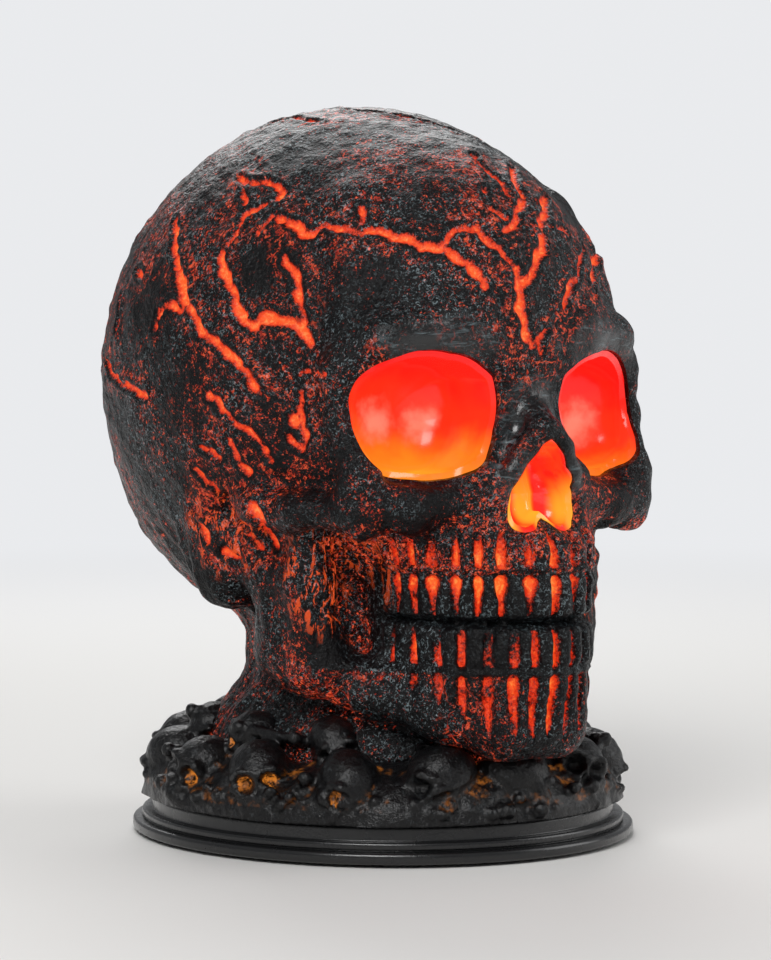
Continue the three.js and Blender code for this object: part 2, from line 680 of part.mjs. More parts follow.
const withCoverBosses = coverScrewPlaces.reduce((body, [x, y]) => body
  .add(solidOf(upright(bossRadius, plinthUnderside - coverTop + cutOverrun / 2, x, y, coverTop)))
  .subtract(solidOf(upright(screwRadius + fitGap / 2, coverScrewLength + fitGap, x, y,
    coverBottom, 10))), plinthBody);
place('base_plinth', shellBossPlaces.reduce((body, [x, y]) => body
  .subtract(solidOf(upright(screwRadius + fitGap, plinthTopPlate + 2 * cutOverrun, x, y,
    plinthUnderside - cutOverrun, 10))), withCoverBosses), plinthBlack);

// Bottom cover with the battery bay standing on it
const coverRadius = trayInside - fitGap;
const bayOuter = block(bayWidth + 2 * bayWall, bayLength + 2 * bayWall, bayTop - coverBottom, 0, 0,
  coverBottom);
const bayInner = block(bayWidth, bayLength, bayCeiling - coverBottom + cutOverrun, 0, 0,
  coverBottom - cutOverrun);
const doorAxis = [0, -bayEnd + fitGap + doorThickness / 2, doorAxisHeight];
const doorPin = (radius, reach) => new THREE.CylinderGeometry(radius, radius, bayWidth + 2 * reach, 10)
  .rotateZ(Math.PI / 2).translate(...doorAxis);
const knobRun = knobLength + switchTravel + 2 * fitGap;
const tabPlaces = [[-cellPitch, 1], [cellPitch, -1]];
const boardPosts = [-boardPostSpread, boardPostSpread];

const coverCuts = [
  bayInner,
  doorPin(doorPinRadius + fitGap / 2, doorPinReach + fitGap),
  upright(thumbNotchRadius, thumbNotchDepth + cutOverrun, 0, bayEnd, coverBottom - cutOverrun, 20),
  block(knobWidth + 2 * fitGap, knobRun, coverThickness + 2 * cutOverrun, 0, switchOffset,
    coverBottom - cutOverrun),
  ...coverScrewPlaces.map(([x, y]) => upright(screwRadius + fitGap, coverThickness + 2 * cutOverrun, x, y,
    coverBottom - cutOverrun, 10)),
  ...tabPlaces.map(([x, side]) => block(tabWidth + 2 * fitGap, contactThickness + 2 * fitGap,
    bayWall + 2 * cutOverrun, x, side * (bayEnd - contactThickness / 2), bayCeiling - cutOverrun)),
  ...boardPosts.map((x) => upright(screwRadius + fitGap / 2, boardScrewLength - boardThickness + fitGap,
    x, 0, boardBottom - boardScrewLength + boardThickness, 10)),
];
const coverBody = [bayOuter, ...boardPosts.map((x) => upright(boardPostRadius,
  boardPostHeight + bayWall / 2, x, 0, boardBottom - boardPostHeight - bayWall / 2, 14))]
  .reduce((body, shape) => body.add(solidOf(shape)),
    oval([[0, coverBottom], [coverRadius, coverBottom], [coverRadius, coverTop], [0, coverTop]]));
place('bottom_cover', coverCuts.reduce((body, shape) => body.subtract(solidOf(shape)), coverBody),
  coverBlack);

// Battery door: a slab with a round hinge edge on two pin ends, and a snap lip at the far edge
function batteryDoor() {
  const reach = bayLength - 2 * fitGap - doorThickness / 2;
  const half = doorThickness / 2;
  const outline = new THREE.Shape();
  outline.moveTo(0, -half);
  outline.lineTo(reach, -half);
  outline.lineTo(reach, half);
  outline.lineTo(0, half);
  outline.absarc(0, 0, half, Math.PI / 2, Math.PI * 1.5, false);
  const width = bayWidth - 2 * fitGap;
  const slab = new THREE.ExtrudeGeometry(outline, { depth: width, bevelEnabled: false, curveSegments: 8 })
    .translate(0, 0, -width / 2).rotateY(Math.PI / 2).rotateX(Math.PI / 2);
  slab.translate(...doorAxis);
  const lip = block(doorLatchWidth, doorLatchThickness, doorLatchHeight + half, 0,
    doorAxis[1] + reach - doorLatchThickness / 2, doorAxisHeight);
  return solidOf(slab).add(solidOf(doorPin(doorPinRadius, doorPinReach))).add(solidOf(lip));
}
place('battery_door', batteryDoor(), coverBlack);

// Cells lie side by side along Y, the middle one turned round
const cellNames = ['battery_right', 'battery_middle', 'battery_left'];
cellNames.forEach((name, i) => {
  const facing = i === 1 ? -1 : 1;
  const cell = turned([[0, 0], [cellRadius, 0], [cellRadius, cellLength], [cellNubRadius, cellLength],
    [cellNubRadius, cellLength + cellNubLength], [0, cellLength + cellNubLength]], 14);
  cell.rotateX(-facing * Math.PI / 2);
  const tail = -facing * (bayEnd - contactThickness - springLength - fitGap);
  place(name, cell, cellJacket, [(i - 1) * cellPitch, tail, cellAxisHeight]);
});

// Contacts: sprung at the flat end of each cell, plain at the nub, two with solder tabs
function contact(side, plateShare, springPlace, tabPlace) {
  const [from, to] = plateShare.map((share) => share * cellPitch);
  const wide = to - from + contactWidth;
  const middle = side * (bayEnd - contactThickness / 2);
  const plateBottom = bayFloor + contactLift;
  const plates = [block(wide, contactThickness, contactHeight, (from + to) / 2, middle, plateBottom)];
  if (springPlace !== undefined) {
    const spring = new THREE.CylinderGeometry(springRadius * 0.6, springRadius, springLength, 14);
    if (side > 0) spring.rotateX(Math.PI);
    const springMiddle = side * (bayEnd - contactThickness - springLength / 2);
    plates.push(spring.translate(springPlace * cellPitch, springMiddle, cellAxisHeight));
  }
  if (tabPlace !== undefined) {
    const tabBottom = plateBottom + contactHeight / 2;
    plates.push(block(tabWidth, contactThickness, bayTop + tabRise - tabBottom, tabPlace * cellPitch,
      middle, tabBottom));
  }
  return plates.map(solidOf).reduce((a, b) => a.add(b));
}
place('positive_contact', contact(1, [-1, -1], undefined, -1), springSteel);
place('front_cell_link', contact(-1, [-1, 0], -1), springSteel);
place('rear_cell_link', contact(1, [0, 1], 0), springSteel);
place('negative_contact', contact(-1, [1, 1], 1, 1), springSteel);

// Slide switch: a housing on the cover and a knob that slides in its slot
const knobRest = switchOffset - switchTravel / 2;
const knobFlangeWidth = knobWidth + 2 * knobFlange;
const knobFlangeLength = knobLength + 2 * knobFlange;
const switchRoom = block(knobFlangeWidth + 2 * fitGap, knobFlangeLength + switchTravel + 2 * fitGap,
  switchHeight - switchRoof + cutOverrun, 0, switchOffset, coverTop - cutOverrun);
place('switch_housing', solidOf(block(switchWidth, switchLength, switchHeight, 0, switchOffset, coverTop))
  .subtract(solidOf(switchRoom)), coverBlack);
const knobStem = block(knobWidth, knobLength, knobReach + coverThickness + fitGap, 0, knobRest,
  coverBottom - knobReach);
const knobPlate = block(knobFlangeWidth, knobFlangeLength, knobFlangeHeight, 0, knobRest,
  coverTop + fitGap / 2);
place('switch_knob', solidOf(knobStem).add(solidOf(knobPlate)), switchWhite);

// Light board on two posts, with its lamps and the chip that flickers them
const boardHoles = boardPosts.map((x) => upright(screwRadius + fitGap, boardThickness + 2 * cutOverrun,
  x, 0, boardBottom - cutOverrun, 10));
place('light_board', boardHoles.reduce((body, shape) => body.subtract(solidOf(shape)),
  solidOf(upright(boardRadius, boardThickness, 0, 0, boardBottom, 32))), boardGreen);
place('flicker_chip', block(chipLength, chipWidth, chipHeight), wireBlack, [0, 0, boardTop]);
for (let i = 0; i < ledCount; i += 1) {
  const turn = (i + 0.5) / ledCount * Math.PI * 2;
  const dome = Array.from({ length: 4 }, (_, step) => step / 3 * Math.PI / 2).map((angle) =>
    [ledRadius * Math.cos(angle), ledHeight - ledRadius + ledRadius * Math.sin(angle)]);
  dome[dome.length - 1][0] = 0;
  const led = turned([[0, 0], [ledFlangeRadius, 0], [ledFlangeRadius, ledFlangeHeight],
    [ledRadius, ledFlangeHeight], ...dome], 10);
  place(`led_${i + 1}`, led, ledClear, [Math.cos(turn) * ledSpread, Math.sin(turn) * ledSpread, boardTop]);
}

// Screws: head down below the cover and the plinth's top plate, head up on the light board
function screw(name, length, [x, y], height, facing) {
  const shape = turned([[0, -screwHeadHeight], [screwHeadRadius * 0.7, -screwHeadHeight],
    [screwHeadRadius, -screwHeadHeight / 2], [screwHeadRadius, 0], [screwRadius, 0], [screwRadius, length],
    [0, length]], 8);
  if (facing < 0) shape.rotateX(Math.PI);
  place(name, shape, springSteel, [x, y, height]);
}
coverScrewPlaces.forEach((spot, i) => {
  screw(`cover_screw_${i + 1}`, coverScrewLength, spot, coverBottom, 1);
});
shellBossPlaces.forEach((spot, i) => {
  screw(`shell_screw_${i + 1}`, shellScrewLength, spot, plinthUnderside, 1);
});
boardPosts.forEach((x, i) => {
  screw(`board_screw_${i + 1}`, boardScrewLength, [x, 0], boardTop, -1);
});

// Rubber feet under the cover
footPlaces.forEach(([x, y], i) => place(`rubber_foot_${i + 1}`,
  upright(rubberFootRadius, coverBottom, x, y, 0, 20), rubberBlack));

// Wires: each runs from a solder tab or the switch to the next part, in its own smooth curve
function wire(name, material, points) {
  const route = points.map((point) => new THREE.Vector3(...point));
  place(name, threadAlong(route, wireRadius, 14, 3), material);
}
const switchFront = switchOffset - switchLength / 2 - fitGap;
const switchEntry = coverTop + switchHeight / 2;
const switchApproach = [switchFront - wireLoop, switchEntry + wireRadius];
const tabFace = bayEnd + fitGap;
const tabHeight = bayTop + tabRise - wireRadius;
const beside = bayEnd + bayWall + wireLoop / 2;
const wireRow = switchWidth / 4;
const landing = [cellPitch / 4, boardRadius - wireLoop];
const overBay = bayTop + 2 * wireRadius;
const belowBoard = boardBottom - wireLoop / 3;
const wireEnd = boardBottom - 2 * fitGap;
wire('positive_wire', wireRed, [
  [-cellPitch, tabFace, tabHeight],
  [-cellPitch, beside, tabHeight],
  [-cellPitch, beside + wireRadius, bayTop - wireLoop],
  [-cellPitch / 2, beside + wireRadius, plinthTop],
  [-wireRow, ...switchApproach],
  [-wireRow, switchFront, switchEntry],
]);
wire('switch_wire', wireRed, [
  [wireRow, switchFront, switchEntry],
  [wireRow, ...switchApproach],
  [cellPitch / 2, beside + wireRadius, plinthTop],
  [cellPitch / 2, beside, bayTop],
  [cellPitch / 2, bayEnd, overBay],
  [landing[0], landing[1], overBay],
  [landing[0], landing[1], belowBoard],
  [landing[0], landing[1], wireEnd],
]);
wire('negative_wire', wireBlack, [
  [cellPitch, -tabFace + contactThickness + 2 * fitGap, tabHeight],
  [cellPitch, -bayEnd + wireLoop, tabHeight + wireRadius],
  [cellPitch / 2, -boardRadius, overBay],
  [landing[0], -landing[1], belowBoard],
  [landing[0], -landing[1], wireEnd],
]);

// The whole lamp is set so that the origin is the middle of its overall box
const overall = moulding.boundingBox();
lamp.position.y = -(overall.min[1] + overall.max[1]) / 2;

export default lamp;
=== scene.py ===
# Skull lamp: a hollow painted skull moulding, lit from inside, on an oval plinth, with a ring of
# small skulls round its neck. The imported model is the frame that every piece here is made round.
import math

import bpy
import numpy as np
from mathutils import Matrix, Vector, kdtree, noise


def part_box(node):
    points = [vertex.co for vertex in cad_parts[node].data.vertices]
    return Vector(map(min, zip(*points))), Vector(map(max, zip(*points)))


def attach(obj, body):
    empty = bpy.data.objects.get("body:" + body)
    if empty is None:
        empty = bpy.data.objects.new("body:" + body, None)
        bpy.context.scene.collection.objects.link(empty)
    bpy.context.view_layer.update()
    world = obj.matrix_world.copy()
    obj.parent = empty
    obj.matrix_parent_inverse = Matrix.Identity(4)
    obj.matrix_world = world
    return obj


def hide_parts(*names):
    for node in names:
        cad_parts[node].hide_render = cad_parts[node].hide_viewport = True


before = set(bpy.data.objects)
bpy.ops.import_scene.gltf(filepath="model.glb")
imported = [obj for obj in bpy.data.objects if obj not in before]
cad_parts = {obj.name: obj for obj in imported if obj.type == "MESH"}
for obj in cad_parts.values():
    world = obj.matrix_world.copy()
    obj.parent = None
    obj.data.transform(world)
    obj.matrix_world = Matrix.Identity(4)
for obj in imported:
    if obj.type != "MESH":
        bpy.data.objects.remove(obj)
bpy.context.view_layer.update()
for extra in ("Cube", "Light", "Camera"):
    if extra in bpy.data.objects:
        bpy.data.objects.remove(bpy.data.objects[extra])
bpy.ops.object.select_all(action="DESELECT")


# Studio: a pale floor, soft lights from three sides and a camera at the photograph's angle.
# The lens stands one metre from the lamp, a little above the middle of the face, and looks
# slightly down, so that the horizon lies where the photograph has it.
mm = 0.001
plinth_low, plinth_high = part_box("base_plinth")
lamp_middle = (plinth_low.y + plinth_high.y) / 2
camera_turn = math.radians(-34)
camera_distance = 1.0
camera_height = 0.150
focal_pixels = 3200
long_side_pixels = 960
short_side_pixels = 771
horizon_row = 350
lamp_column = 381.5
camera_pitch = math.atan((long_side_pixels / 2 - horizon_row) / focal_pixels)
camera_yaw = math.atan((short_side_pixels / 2 - lamp_column) / focal_pixels)
camera_place = Vector((math.sin(camera_turn) * camera_distance,
                       lamp_middle - math.cos(camera_turn) * camera_distance, camera_height))
bpy.ops.object.camera_add(location=camera_place,
                          rotation=(math.pi / 2 - camera_pitch, 0, -camera_yaw + camera_turn))
camera = bpy.context.object
camera.name = "photo_camera"
camera.data.sensor_width = 36
camera.data.lens = camera.data.sensor_width * focal_pixels / long_side_pixels
camera.data.clip_start = 0.05
bpy.context.scene.camera = camera
bpy.context.scene.view_settings.view_transform = "Standard"


def feed(value, socket):
    """Gives a shader socket a plain value or another node's output."""
    if isinstance(value, bpy.types.NodeSocket):
        socket.id_data.links.new(value, socket)
    else:
        socket.default_value = value


def finish_step(tree, kind, inputs=(), **settings):
    """One more node of a finish, whose inputs are called by name or by number."""
    node = tree.nodes.new("ShaderNode" + kind)
    for key, value in settings.items():
        setattr(node, key, value)
    for key, value in dict(inputs).items():
        feed(value, node.inputs[key])
    return node


def new_finish(name):
    material = bpy.data.materials.new(name)
    material.use_nodes = True
    return material


def finish_with(material, **values):
    """Joins values to the surface shader's sockets, whose names have spaces for underscores."""
    surface = material.node_tree.nodes["Principled BSDF"]
    for key, value in values.items():
        feed(value, surface.inputs[key.replace("_", " ")])


def calc(operation, *values):
    """The result of one maths node. At least one of the values comes from another node."""
    tree = next(value.id_data for value in values if isinstance(value, bpy.types.NodeSocket))
    return finish_step(tree, "Math", enumerate(values), operation=operation).outputs[0]


def fade(value, low, high):
    """0 at low, 1 at high, and soft between."""
    ends = {"Value": value, "From Min": low, "From Max": high}
    return finish_step(value.id_data, "MapRange", ends, interpolation_type="SMOOTHSTEP").outputs["Result"]


floor_colour = (0.80, 0.79, 0.77, 1)
floor_fades_from = 0.35
floor_gone_at = 1.5
world_colour = (0.82, 0.83, 0.85, 1)
world_light = 0.32
bpy.ops.mesh.primitive_plane_add(size=14)
floor = bpy.context.object
floor.name = "floor"
paper = new_finish("studio_paper")
finish_with(paper, Base_Color=floor_colour, Roughness=0.9)
paper_tree = paper.node_tree
near_paper = paper_tree.nodes["Principled BSDF"].outputs["BSDF"]
far_paper = finish_step(paper_tree, "Emission", {"Color": world_colour}).outputs["Emission"]
floor_place = finish_step(paper_tree, "TexCoord").outputs["Object"]
off_lamp = finish_step(paper_tree, "VectorMath", {0: floor_place}, operation="LENGTH").outputs["Value"]
far_share = fade(off_lamp, floor_fades_from, floor_gone_at)
either = finish_step(paper_tree, "MixShader", {"Fac": far_share, 1: near_paper, 2: far_paper})
feed(either.outputs["Shader"], paper_tree.nodes["Material Output"].inputs["Surface"])
floor.data.materials.append(paper)

world = bpy.data.worlds.new("studio")
bpy.context.scene.world = world
world.use_nodes = True
sky = world.node_tree.nodes["Background"]
rays = finish_step(world.node_tree, "LightPath").outputs
seen = calc("MAXIMUM", rays["Is Camera Ray"], rays["Is Transmission Ray"])
level = finish_step(world.node_tree, "MapRange", {"Value": seen, "To Min": world_light, "To Max": 1.0})
feed(world_colour, sky.inputs["Color"])
feed(level.outputs["Result"], sky.inputs["Strength"])

light_aim = Vector((0, lamp_middle, 0.12))
for name, place, size, power in (("key_light", (-0.9, -0.8, 1.0), 0.7, 14),
                                 ("fill_light", (1.1, -0.7, 0.6), 0.9, 6),
                                 ("rim_light", (0.5, 1.0, 1.0), 0.8, 10)):
    bpy.ops.object.light_add(type="AREA", location=place)
    lamp_light = bpy.context.object
    lamp_light.name = name
    lamp_light.data.size = size
    lamp_light.data.energy = power
    lamp_light.rotation_euler = (light_aim - Vector(place)).to_track_quat("-Z", "Y").to_euler()


# Skull moulding: a thin vacuum-formed skin in translucent orange, painted black. Its form is a
# blend of egg-shaped lumps and rounded ridges, in millimetres from the plinth's middle, with the
# face towards -Y. It is made for one side and mirrored by taking the distance from the middle.
def merge(a, b, width):
    mix = np.clip(0.5 + 0.5 * (b - a) / width, 0, 1)
    return b * (1 - mix) + a * mix - width * mix * (1 - mix)


def hollow(a, b, width):
    return -merge(-a, b, width)


def lump(at, centre, radii):
    from_centre = at - np.array(centre, float)
    radii = np.array(radii, float)
    reach = np.linalg.norm(from_centre / radii, axis=1)
    slope = np.linalg.norm(from_centre / radii ** 2, axis=1) + 1e-9
    return reach * (reach - 1) / slope


def ridge(at, width, *points):
    form = None
    for (*start, thick), (*end, thin) in zip(points, points[1:]):
        start = np.array(start, float)
        along = np.array(end, float) - start
        share = np.clip((at - start) @ along / (along @ along), 0, 1)
        bar = np.linalg.norm(at - start - share[:, None] * along, axis=1) - (thick + (thin - thick) * share)
        form = bar if form is None else merge(form, bar, width)
    return form


arch_half_width = 30.5
arch_depth = 43.5
arch_middle = -46
bite_level = 71
lower_gum_level = 56.4
upper_gum_level = 85
upper_gaps = np.array([0, 8.4, 16, 23.2, 30, 37, 44, 51, 58])
lower_gaps = np.array([0, 6.6, 12.8, 20, 28, 36, 44.5, 53, 60])
arch_turns = np.linspace(0, math.pi / 2, 200)
arch_steps = np.hypot(arch_half_width * np.cos(arch_turns), arch_depth * np.sin(arch_turns))
arch_lengths = np.concatenate([[0], np.cumsum((arch_steps[1:] + arch_steps[:-1]) / 2)
                               * (arch_turns[1] - arch_turns[0])])


def along_arch(at):
    """Distance along the row of teeth from the middle of the face."""
    front = np.minimum(at[:, 1], arch_middle) - arch_middle
    turn = np.arctan2(np.abs(at[:, 0]) / arch_half_width, -front / arch_depth)
    return np.interp(turn, arch_turns, arch_lengths) + np.maximum(at[:, 1] - arch_middle, 0)


def between(value, low, high, soft):
    """1 inside a band, 0 outside it, with soft ends."""
    return np.clip((value - low) / soft + 0.5, 0, 1) * np.clip((high - value) / soft + 0.5, 0, 1)


def within(distance, soft):
    """1 well inside a form, 0 well outside it, and soft across its surface."""
    return np.clip(0.5 - distance / soft, 0, 1)


def tooth_share(length, gaps):
    """Place across the tooth from 0 to 1, and the distance to the nearest gap between two teeth."""
    inside = np.clip(np.searchsorted(gaps, length, side="right") - 1, 0, len(gaps) - 2)
    width = gaps[inside + 1] - gaps[inside]
    share = np.clip((length - gaps[inside]) / width, 0, 1)
    return share, np.minimum(share, 1 - share) * width


def root_end(length):
    """Level at which the lower roots run out above the chin."""
    return 37 + 0.006 * length ** 2 + 2.4 * np.sin(length * 0.9)


def slot_gap(at):
    """Distance from the edge of the nearest slot between teeth or roots, below zero inside it."""
    length = along_arch(at)
    height = at[:, 2]
    _, upper_edge = tooth_share(length, upper_gaps)
    _, lower_edge = tooth_share(length, lower_gaps)
    uneven = 0.85 + 0.3 * np.sin(length * 1.15 + 0.6)
    crown_slot = uneven * np.interp(height, [72.6, 73.6, 78, 82, 83.8, 85.2], [0, 0.75, 1.15, 2.2, 2.2, 0])
    root_slot = uneven * np.interp(height, [86.4, 87.4, 91, 95, 98], [0, 1.6, 1.5, 0.7, 0])
    low_crown_slot = uneven * np.interp(height, [57.3, 58.3, 60, 66, 68.2, 69.4],
                                        [0, 1.3, 1.25, 0.95, 0.6, 0])
    below = np.clip((height - root_end(length)) / 9, 0, 1)
    low_root_slot = uneven * 1.4 * np.sqrt(below) * np.clip((56 - height) / 1.2, 0, 1)
    upper_half = np.maximum(crown_slot, root_slot)
    lower_half = np.maximum(low_crown_slot, low_root_slot)
    lower = np.where(lower_half > 0.05, lower_edge - lower_half, 3)
    upper = np.where(upper_half > 0.05, upper_edge - upper_half, 3)
    ends = np.clip(np.abs(length) - 54, 0, 9)
    behind = np.clip(at[:, 1] + 30, 0, 9)
    return np.where(height > bite_level, upper, lower) + ends + behind


def tooth_relief(at):
    """How far crowns, roots and gums stand out from the plain arch."""
    length = along_arch(at)
    height = at[:, 2]
    upper_place, _ = tooth_share(length, upper_gaps)
    lower_place, _ = tooth_share(length, lower_gaps)
    upper_round = np.sqrt(np.clip(1 - (2 * upper_place - 1) ** 2, 0, 1))
    lower_round = np.sqrt(np.clip(1 - (2 * lower_place - 1) ** 2, 0, 1))
    upper_crown = between(height, 72.6, 84, 2.6) * (3.1 * upper_round - 1.5)
    lower_crown = between(height, 58, 69.2, 2.6) * (2.9 * lower_round - 1.3)
    upper_root = between(height, 86, 97, 6) * (2.4 * upper_round - 1.3)
    lower_root = between(height, root_end(length) + 3, 55.5, 6) * (1.8 * lower_round - 0.9)
    gum = 1.1 * between(height, upper_gum_level - 0.9 + 1.8 * upper_round, upper_gum_level + 0.7
                        + 1.8 * upper_round, 1.1)
    bead = 0.9 * between(height, lower_gum_level - 0.8, lower_gum_level + 0.8, 1.1)
    bite = -2.8 * between(height, bite_level - 1, bite_level + 1, 1.6)
    slots = -2.0 * within(slot_gap(at), 1.2)
    front = np.clip((-30 - at[:, 1]) / 6, 0, 1) * np.clip((62 - length) / 6, 0, 1)
    return front * (upper_crown + lower_crown + upper_root + lower_root + gum + bead + bite + slots)


# Each lump has its middle, its radii and the width over which it flows into the rest. Each ridge
# has that width, the same for its own bends, and places with the ridge's radius at each.
head_lumps = {
    "back_of_head": ((0, 46, 112), (54, 50, 42), 12),
    "forehead": ((0, -24, 158), (51, 56, 55), 8),
    "middle_of_face": ((0, -40, 118), (49, 36, 36), 12),
    "upper_jaw": ((0, -58, 90), (30, 29, 22), 10),
}
face_ridges = {
    "temple_line": (7, 4, (50, -55, 148, 2.9), (42.8, -48.5, 176, 3.3), (37.5, -38, 194, 2.6),
                    (33, -24, 202, 1)),
    "brow": (11, 4, (3, -69, 149, 5), (22, -71.5, 156, 5.5), (42, -63.5, 153.5, 4.8), (51, -53.5, 143, 3.6)),
    "outer_eye_rim": (4, 4, (52.4, -55.5, 143, 3.5), (52.6, -56, 130, 3.5), (49.7, -62.5, 114, 6.2)),
    "lower_eye_rim": (6, 4, (49.3, -61, 105.3, 7), (36, -68, 104.3, 6.3), (18, -74, 107.5, 5.5)),
    "cheekbone": (5, 4, (48.2, -58, 101.3, 8), (56.6, -44, 101.7, 6), (61, -26, 104, 5.2),
                  (60, -8, 106, 5.5)),
    "nose_bridge": (5, 4, (0, -66, 142, 5), (0, -71, 134, 4.8), (0, -80, 129.5, 4.2), (0, -85.6, 127, 3.4)),
    "nose_side": (4, 4, (5, -66, 142, 4.5), (8, -69, 133, 4.2), (10.5, -72.5, 124, 4.2),
                  (15.5, -76, 114, 4.5), (16, -77, 98, 4.5)),
    "nose_rim": (3, 3, (1.5, -85.8, 127, 3.0), (6.6, -84.8, 121.6, 2.7), (11, -83.2, 114.5, 2.6),
                 (13.6, -80, 107, 2.8), (14.2, -79.4, 101, 3.2), (12.5, -79.4, 95, 3.6)),
    "behind_nose_rim": (3, 3, (1.5, -80.5, 125, 3.4), (6.6, -79.5, 119.5, 3.2), (10.5, -78, 113, 3)),
}


def folded(places):
    """The places with those of the -X side brought over to the +X side."""
    at = places.copy()
    at[:, 0] = np.abs(at[:, 0])
    return at


def skull_form(places):
    """Distance outside the moulding's surface, before its cracks are cut."""
    at = folded(places)
    form = lump(at, (0, 15.5, 142), (75.3, 91.2, 84.3))
    for middle, radii, width in head_lumps.values():
        form = merge(form, lump(at, middle, radii), width)
    form = hollow(form, lump(at, (76, -48, 136), (21, 20, 22)), 10)
    for width, bend, *points in face_ridges.values():
        form = merge(form, ridge(at, bend, *points), width)
    form = merge(form, lump(at, (53, 5, 92), (12, 14, 20)), 10)
    form = hollow(form, lump(at, (52, -50, 82), (20, 15, 16)), 8)
    forward = (np.minimum(at[:, 1], arch_middle) - arch_middle) / arch_depth
    teeth = hollow((np.hypot(at[:, 0] / arch_half_width, forward) - 1) * 31, -(at[:, 1] + 20), 4)
    teeth = hollow(teeth, -(np.abs(at[:, 2] - bite_level) - 26), 9)
    form = merge(form, teeth, 4)
    jaw = ridge(at, 6, (0, -78, 40, 9.8), (9, -76.5, 40, 8.8), (20, -63.5, 43, 7.4), (32, -46, 49, 7.6),
                (43, -27, 56, 8), (47, -18, 61, 8))
    ramus = ridge(at, 6, (47, -22, 60, 8), (49, -15, 84, 8), (50, -8, 98, 7))
    ramus = merge(ramus, ridge(at, 6, (46, -36, 58, 8), (49, -34, 80, 7), (50, -34, 96, 6)), 10)
    form = merge(form, merge(jaw, ramus, 8), 5)
    rise = np.clip((at[:, 2] - 29.4) / 24, 0, 1)
    taper = rise * rise * (3 - 2 * rise)
    wide = 54 + (40 - 54) * taper
    long = 58 + (42.5 - 58) * taper
    neck = (np.hypot(at[:, 0] / wide, (at[:, 1] - 3 * taper) / long) - 1) * wide
    neck = hollow(neck, 99.5 - at[:, 2], 10)
    form = merge(form, neck, 8)
    form = hollow(form, lump(at, (66, -11, 101), (11, 5.5, 6.5)), 4)
    return form - tooth_relief(at)


def settle(at, form, level=0.0, turns=5, longest=1.5, step=0.25):
    """Moves each place along the form's own slope until it lies on the surface."""
    for _ in range(turns):
        here = form(at)
        steep = np.stack([form(at + step * np.eye(3)[axis]) - here for axis in range(3)], axis=1) / step
        square = np.maximum((steep ** 2).sum(1), 0.2)
        move = steep * ((here - level) / square)[:, None]
        size = np.linalg.norm(move, axis=1)[:, None]
        at = at - move * np.minimum(1, longest / np.maximum(size, 1e-9)) * 0.85
    return at


def slide_in(form, start, ray, reach, level=0.0, turns=46):
    """Brings places in along their rays until they meet the form."""
    for _ in range(turns):
        reach = reach - (form(start + ray * reach[:, None]) - level) * 0.8
    return reach


def places_of(piece, kind="co"):
    """A row of three numbers for each place of the mesh."""
    at = np.empty(len(piece.data.vertices) * 3)
    piece.data.vertices.foreach_get(kind, at)
    return at.reshape(-1, 3)


def directions_of(piece):
    return places_of(piece, "normal")


def put_places(piece, at):
    piece.data.vertices.foreach_set("co", np.asarray(at, np.float32).ravel())
    piece.data.update()


def to_lamp(piece):
    """From millimetres round the plinth's middle to the frame's metres."""
    put_places(piece, places_of(piece) * mm + np.array([0, lamp_middle, 0]))


def apply_modifier(piece, name, kind, **settings):
    bpy.context.view_layer.objects.active = piece
    modifier = piece.modifiers.new(name, kind)
    for key, value in settings.items():
        setattr(modifier, key, value)
    bpy.ops.object.modifier_apply(modifier=name)


def combine(piece, operation, tool, used_up=True):
    apply_modifier(piece, "cut", "BOOLEAN", operation=operation, solver="MANIFOLD", object=tool)
    if used_up:
        bpy.data.objects.remove(tool)


def pick_only(piece):
    """Selects one piece, for the commands that work on what is selected."""
    bpy.ops.object.select_all(action="DESELECT")
    piece.select_set(True)
    bpy.context.view_layer.objects.active = piece


def close_up(piece):
    """Takes out the hair-thin faces that cutting leaves."""
    pick_only(piece)
    bpy.ops.object.mode_set(mode="EDIT")
    bpy.ops.mesh.select_all(action="SELECT")
    bpy.ops.mesh.remove_doubles(threshold=0.01)
    bpy.ops.mesh.dissolve_degenerate(threshold=0.01)
    bpy.ops.object.mode_set(mode="OBJECT")
    piece.data.validate()


def copy_of(piece, name):
    twin = piece.copy()
    twin.data = piece.data.copy()
    twin.name = name
    bpy.context.collection.objects.link(twin)
    return twin


def box_between(name, low, high):
    bpy.ops.mesh.primitive_cube_add(size=1)
    block = bpy.context.object
    block.name = name
    low = np.array(low, float)
    high = np.array(high, float)
    put_places(block, places_of(block) * (high - low) + (high + low) / 2)
    return block


def unit_ball(name, segments, rings):
    bpy.ops.mesh.primitive_uv_sphere_add(segments=segments, ring_count=rings, radius=1)
    ball = bpy.context.object
    ball.name = name
    return ball


core_heights = [24, 44, 60, 96, 125, 142]
core_setbacks = [3, -4, -18, -20, 0, 12.5]
dome_level = 142
dome_share = 0.36
far_out = 120.0


def raise_skin(name, columns, rings, bottom, level):
    """A ball whose rings become rows up a bent core, with a dome on top, slid in onto the form."""
    piece = unit_ball(name, columns, rings)
    ball = places_of(piece)
    turn = np.arctan2(ball[:, 0], -ball[:, 1])
    climb = np.arcsin(np.clip(ball[:, 2], -1, 1)) / math.pi + 0.5
    height = bottom + (dome_level - bottom) * np.clip(climb / (1 - dome_share), 0, 1)
    lift = np.clip((climb - 1 + dome_share) / dome_share, 0, 1) * math.pi / 2
    start = np.stack([0 * height, np.interp(height, core_heights, core_setbacks), height], axis=1)
    ray = np.stack([np.sin(turn) * np.cos(lift), -np.cos(turn) * np.cos(lift), np.sin(lift)], axis=1)
    reach = np.maximum(slide_in(skull_form, start, ray, np.full(len(ball), far_out), level), 2)
    reach[climb < 0.5 / rings] = 0
    put_places(piece, start + ray * reach[:, None])
    return piece


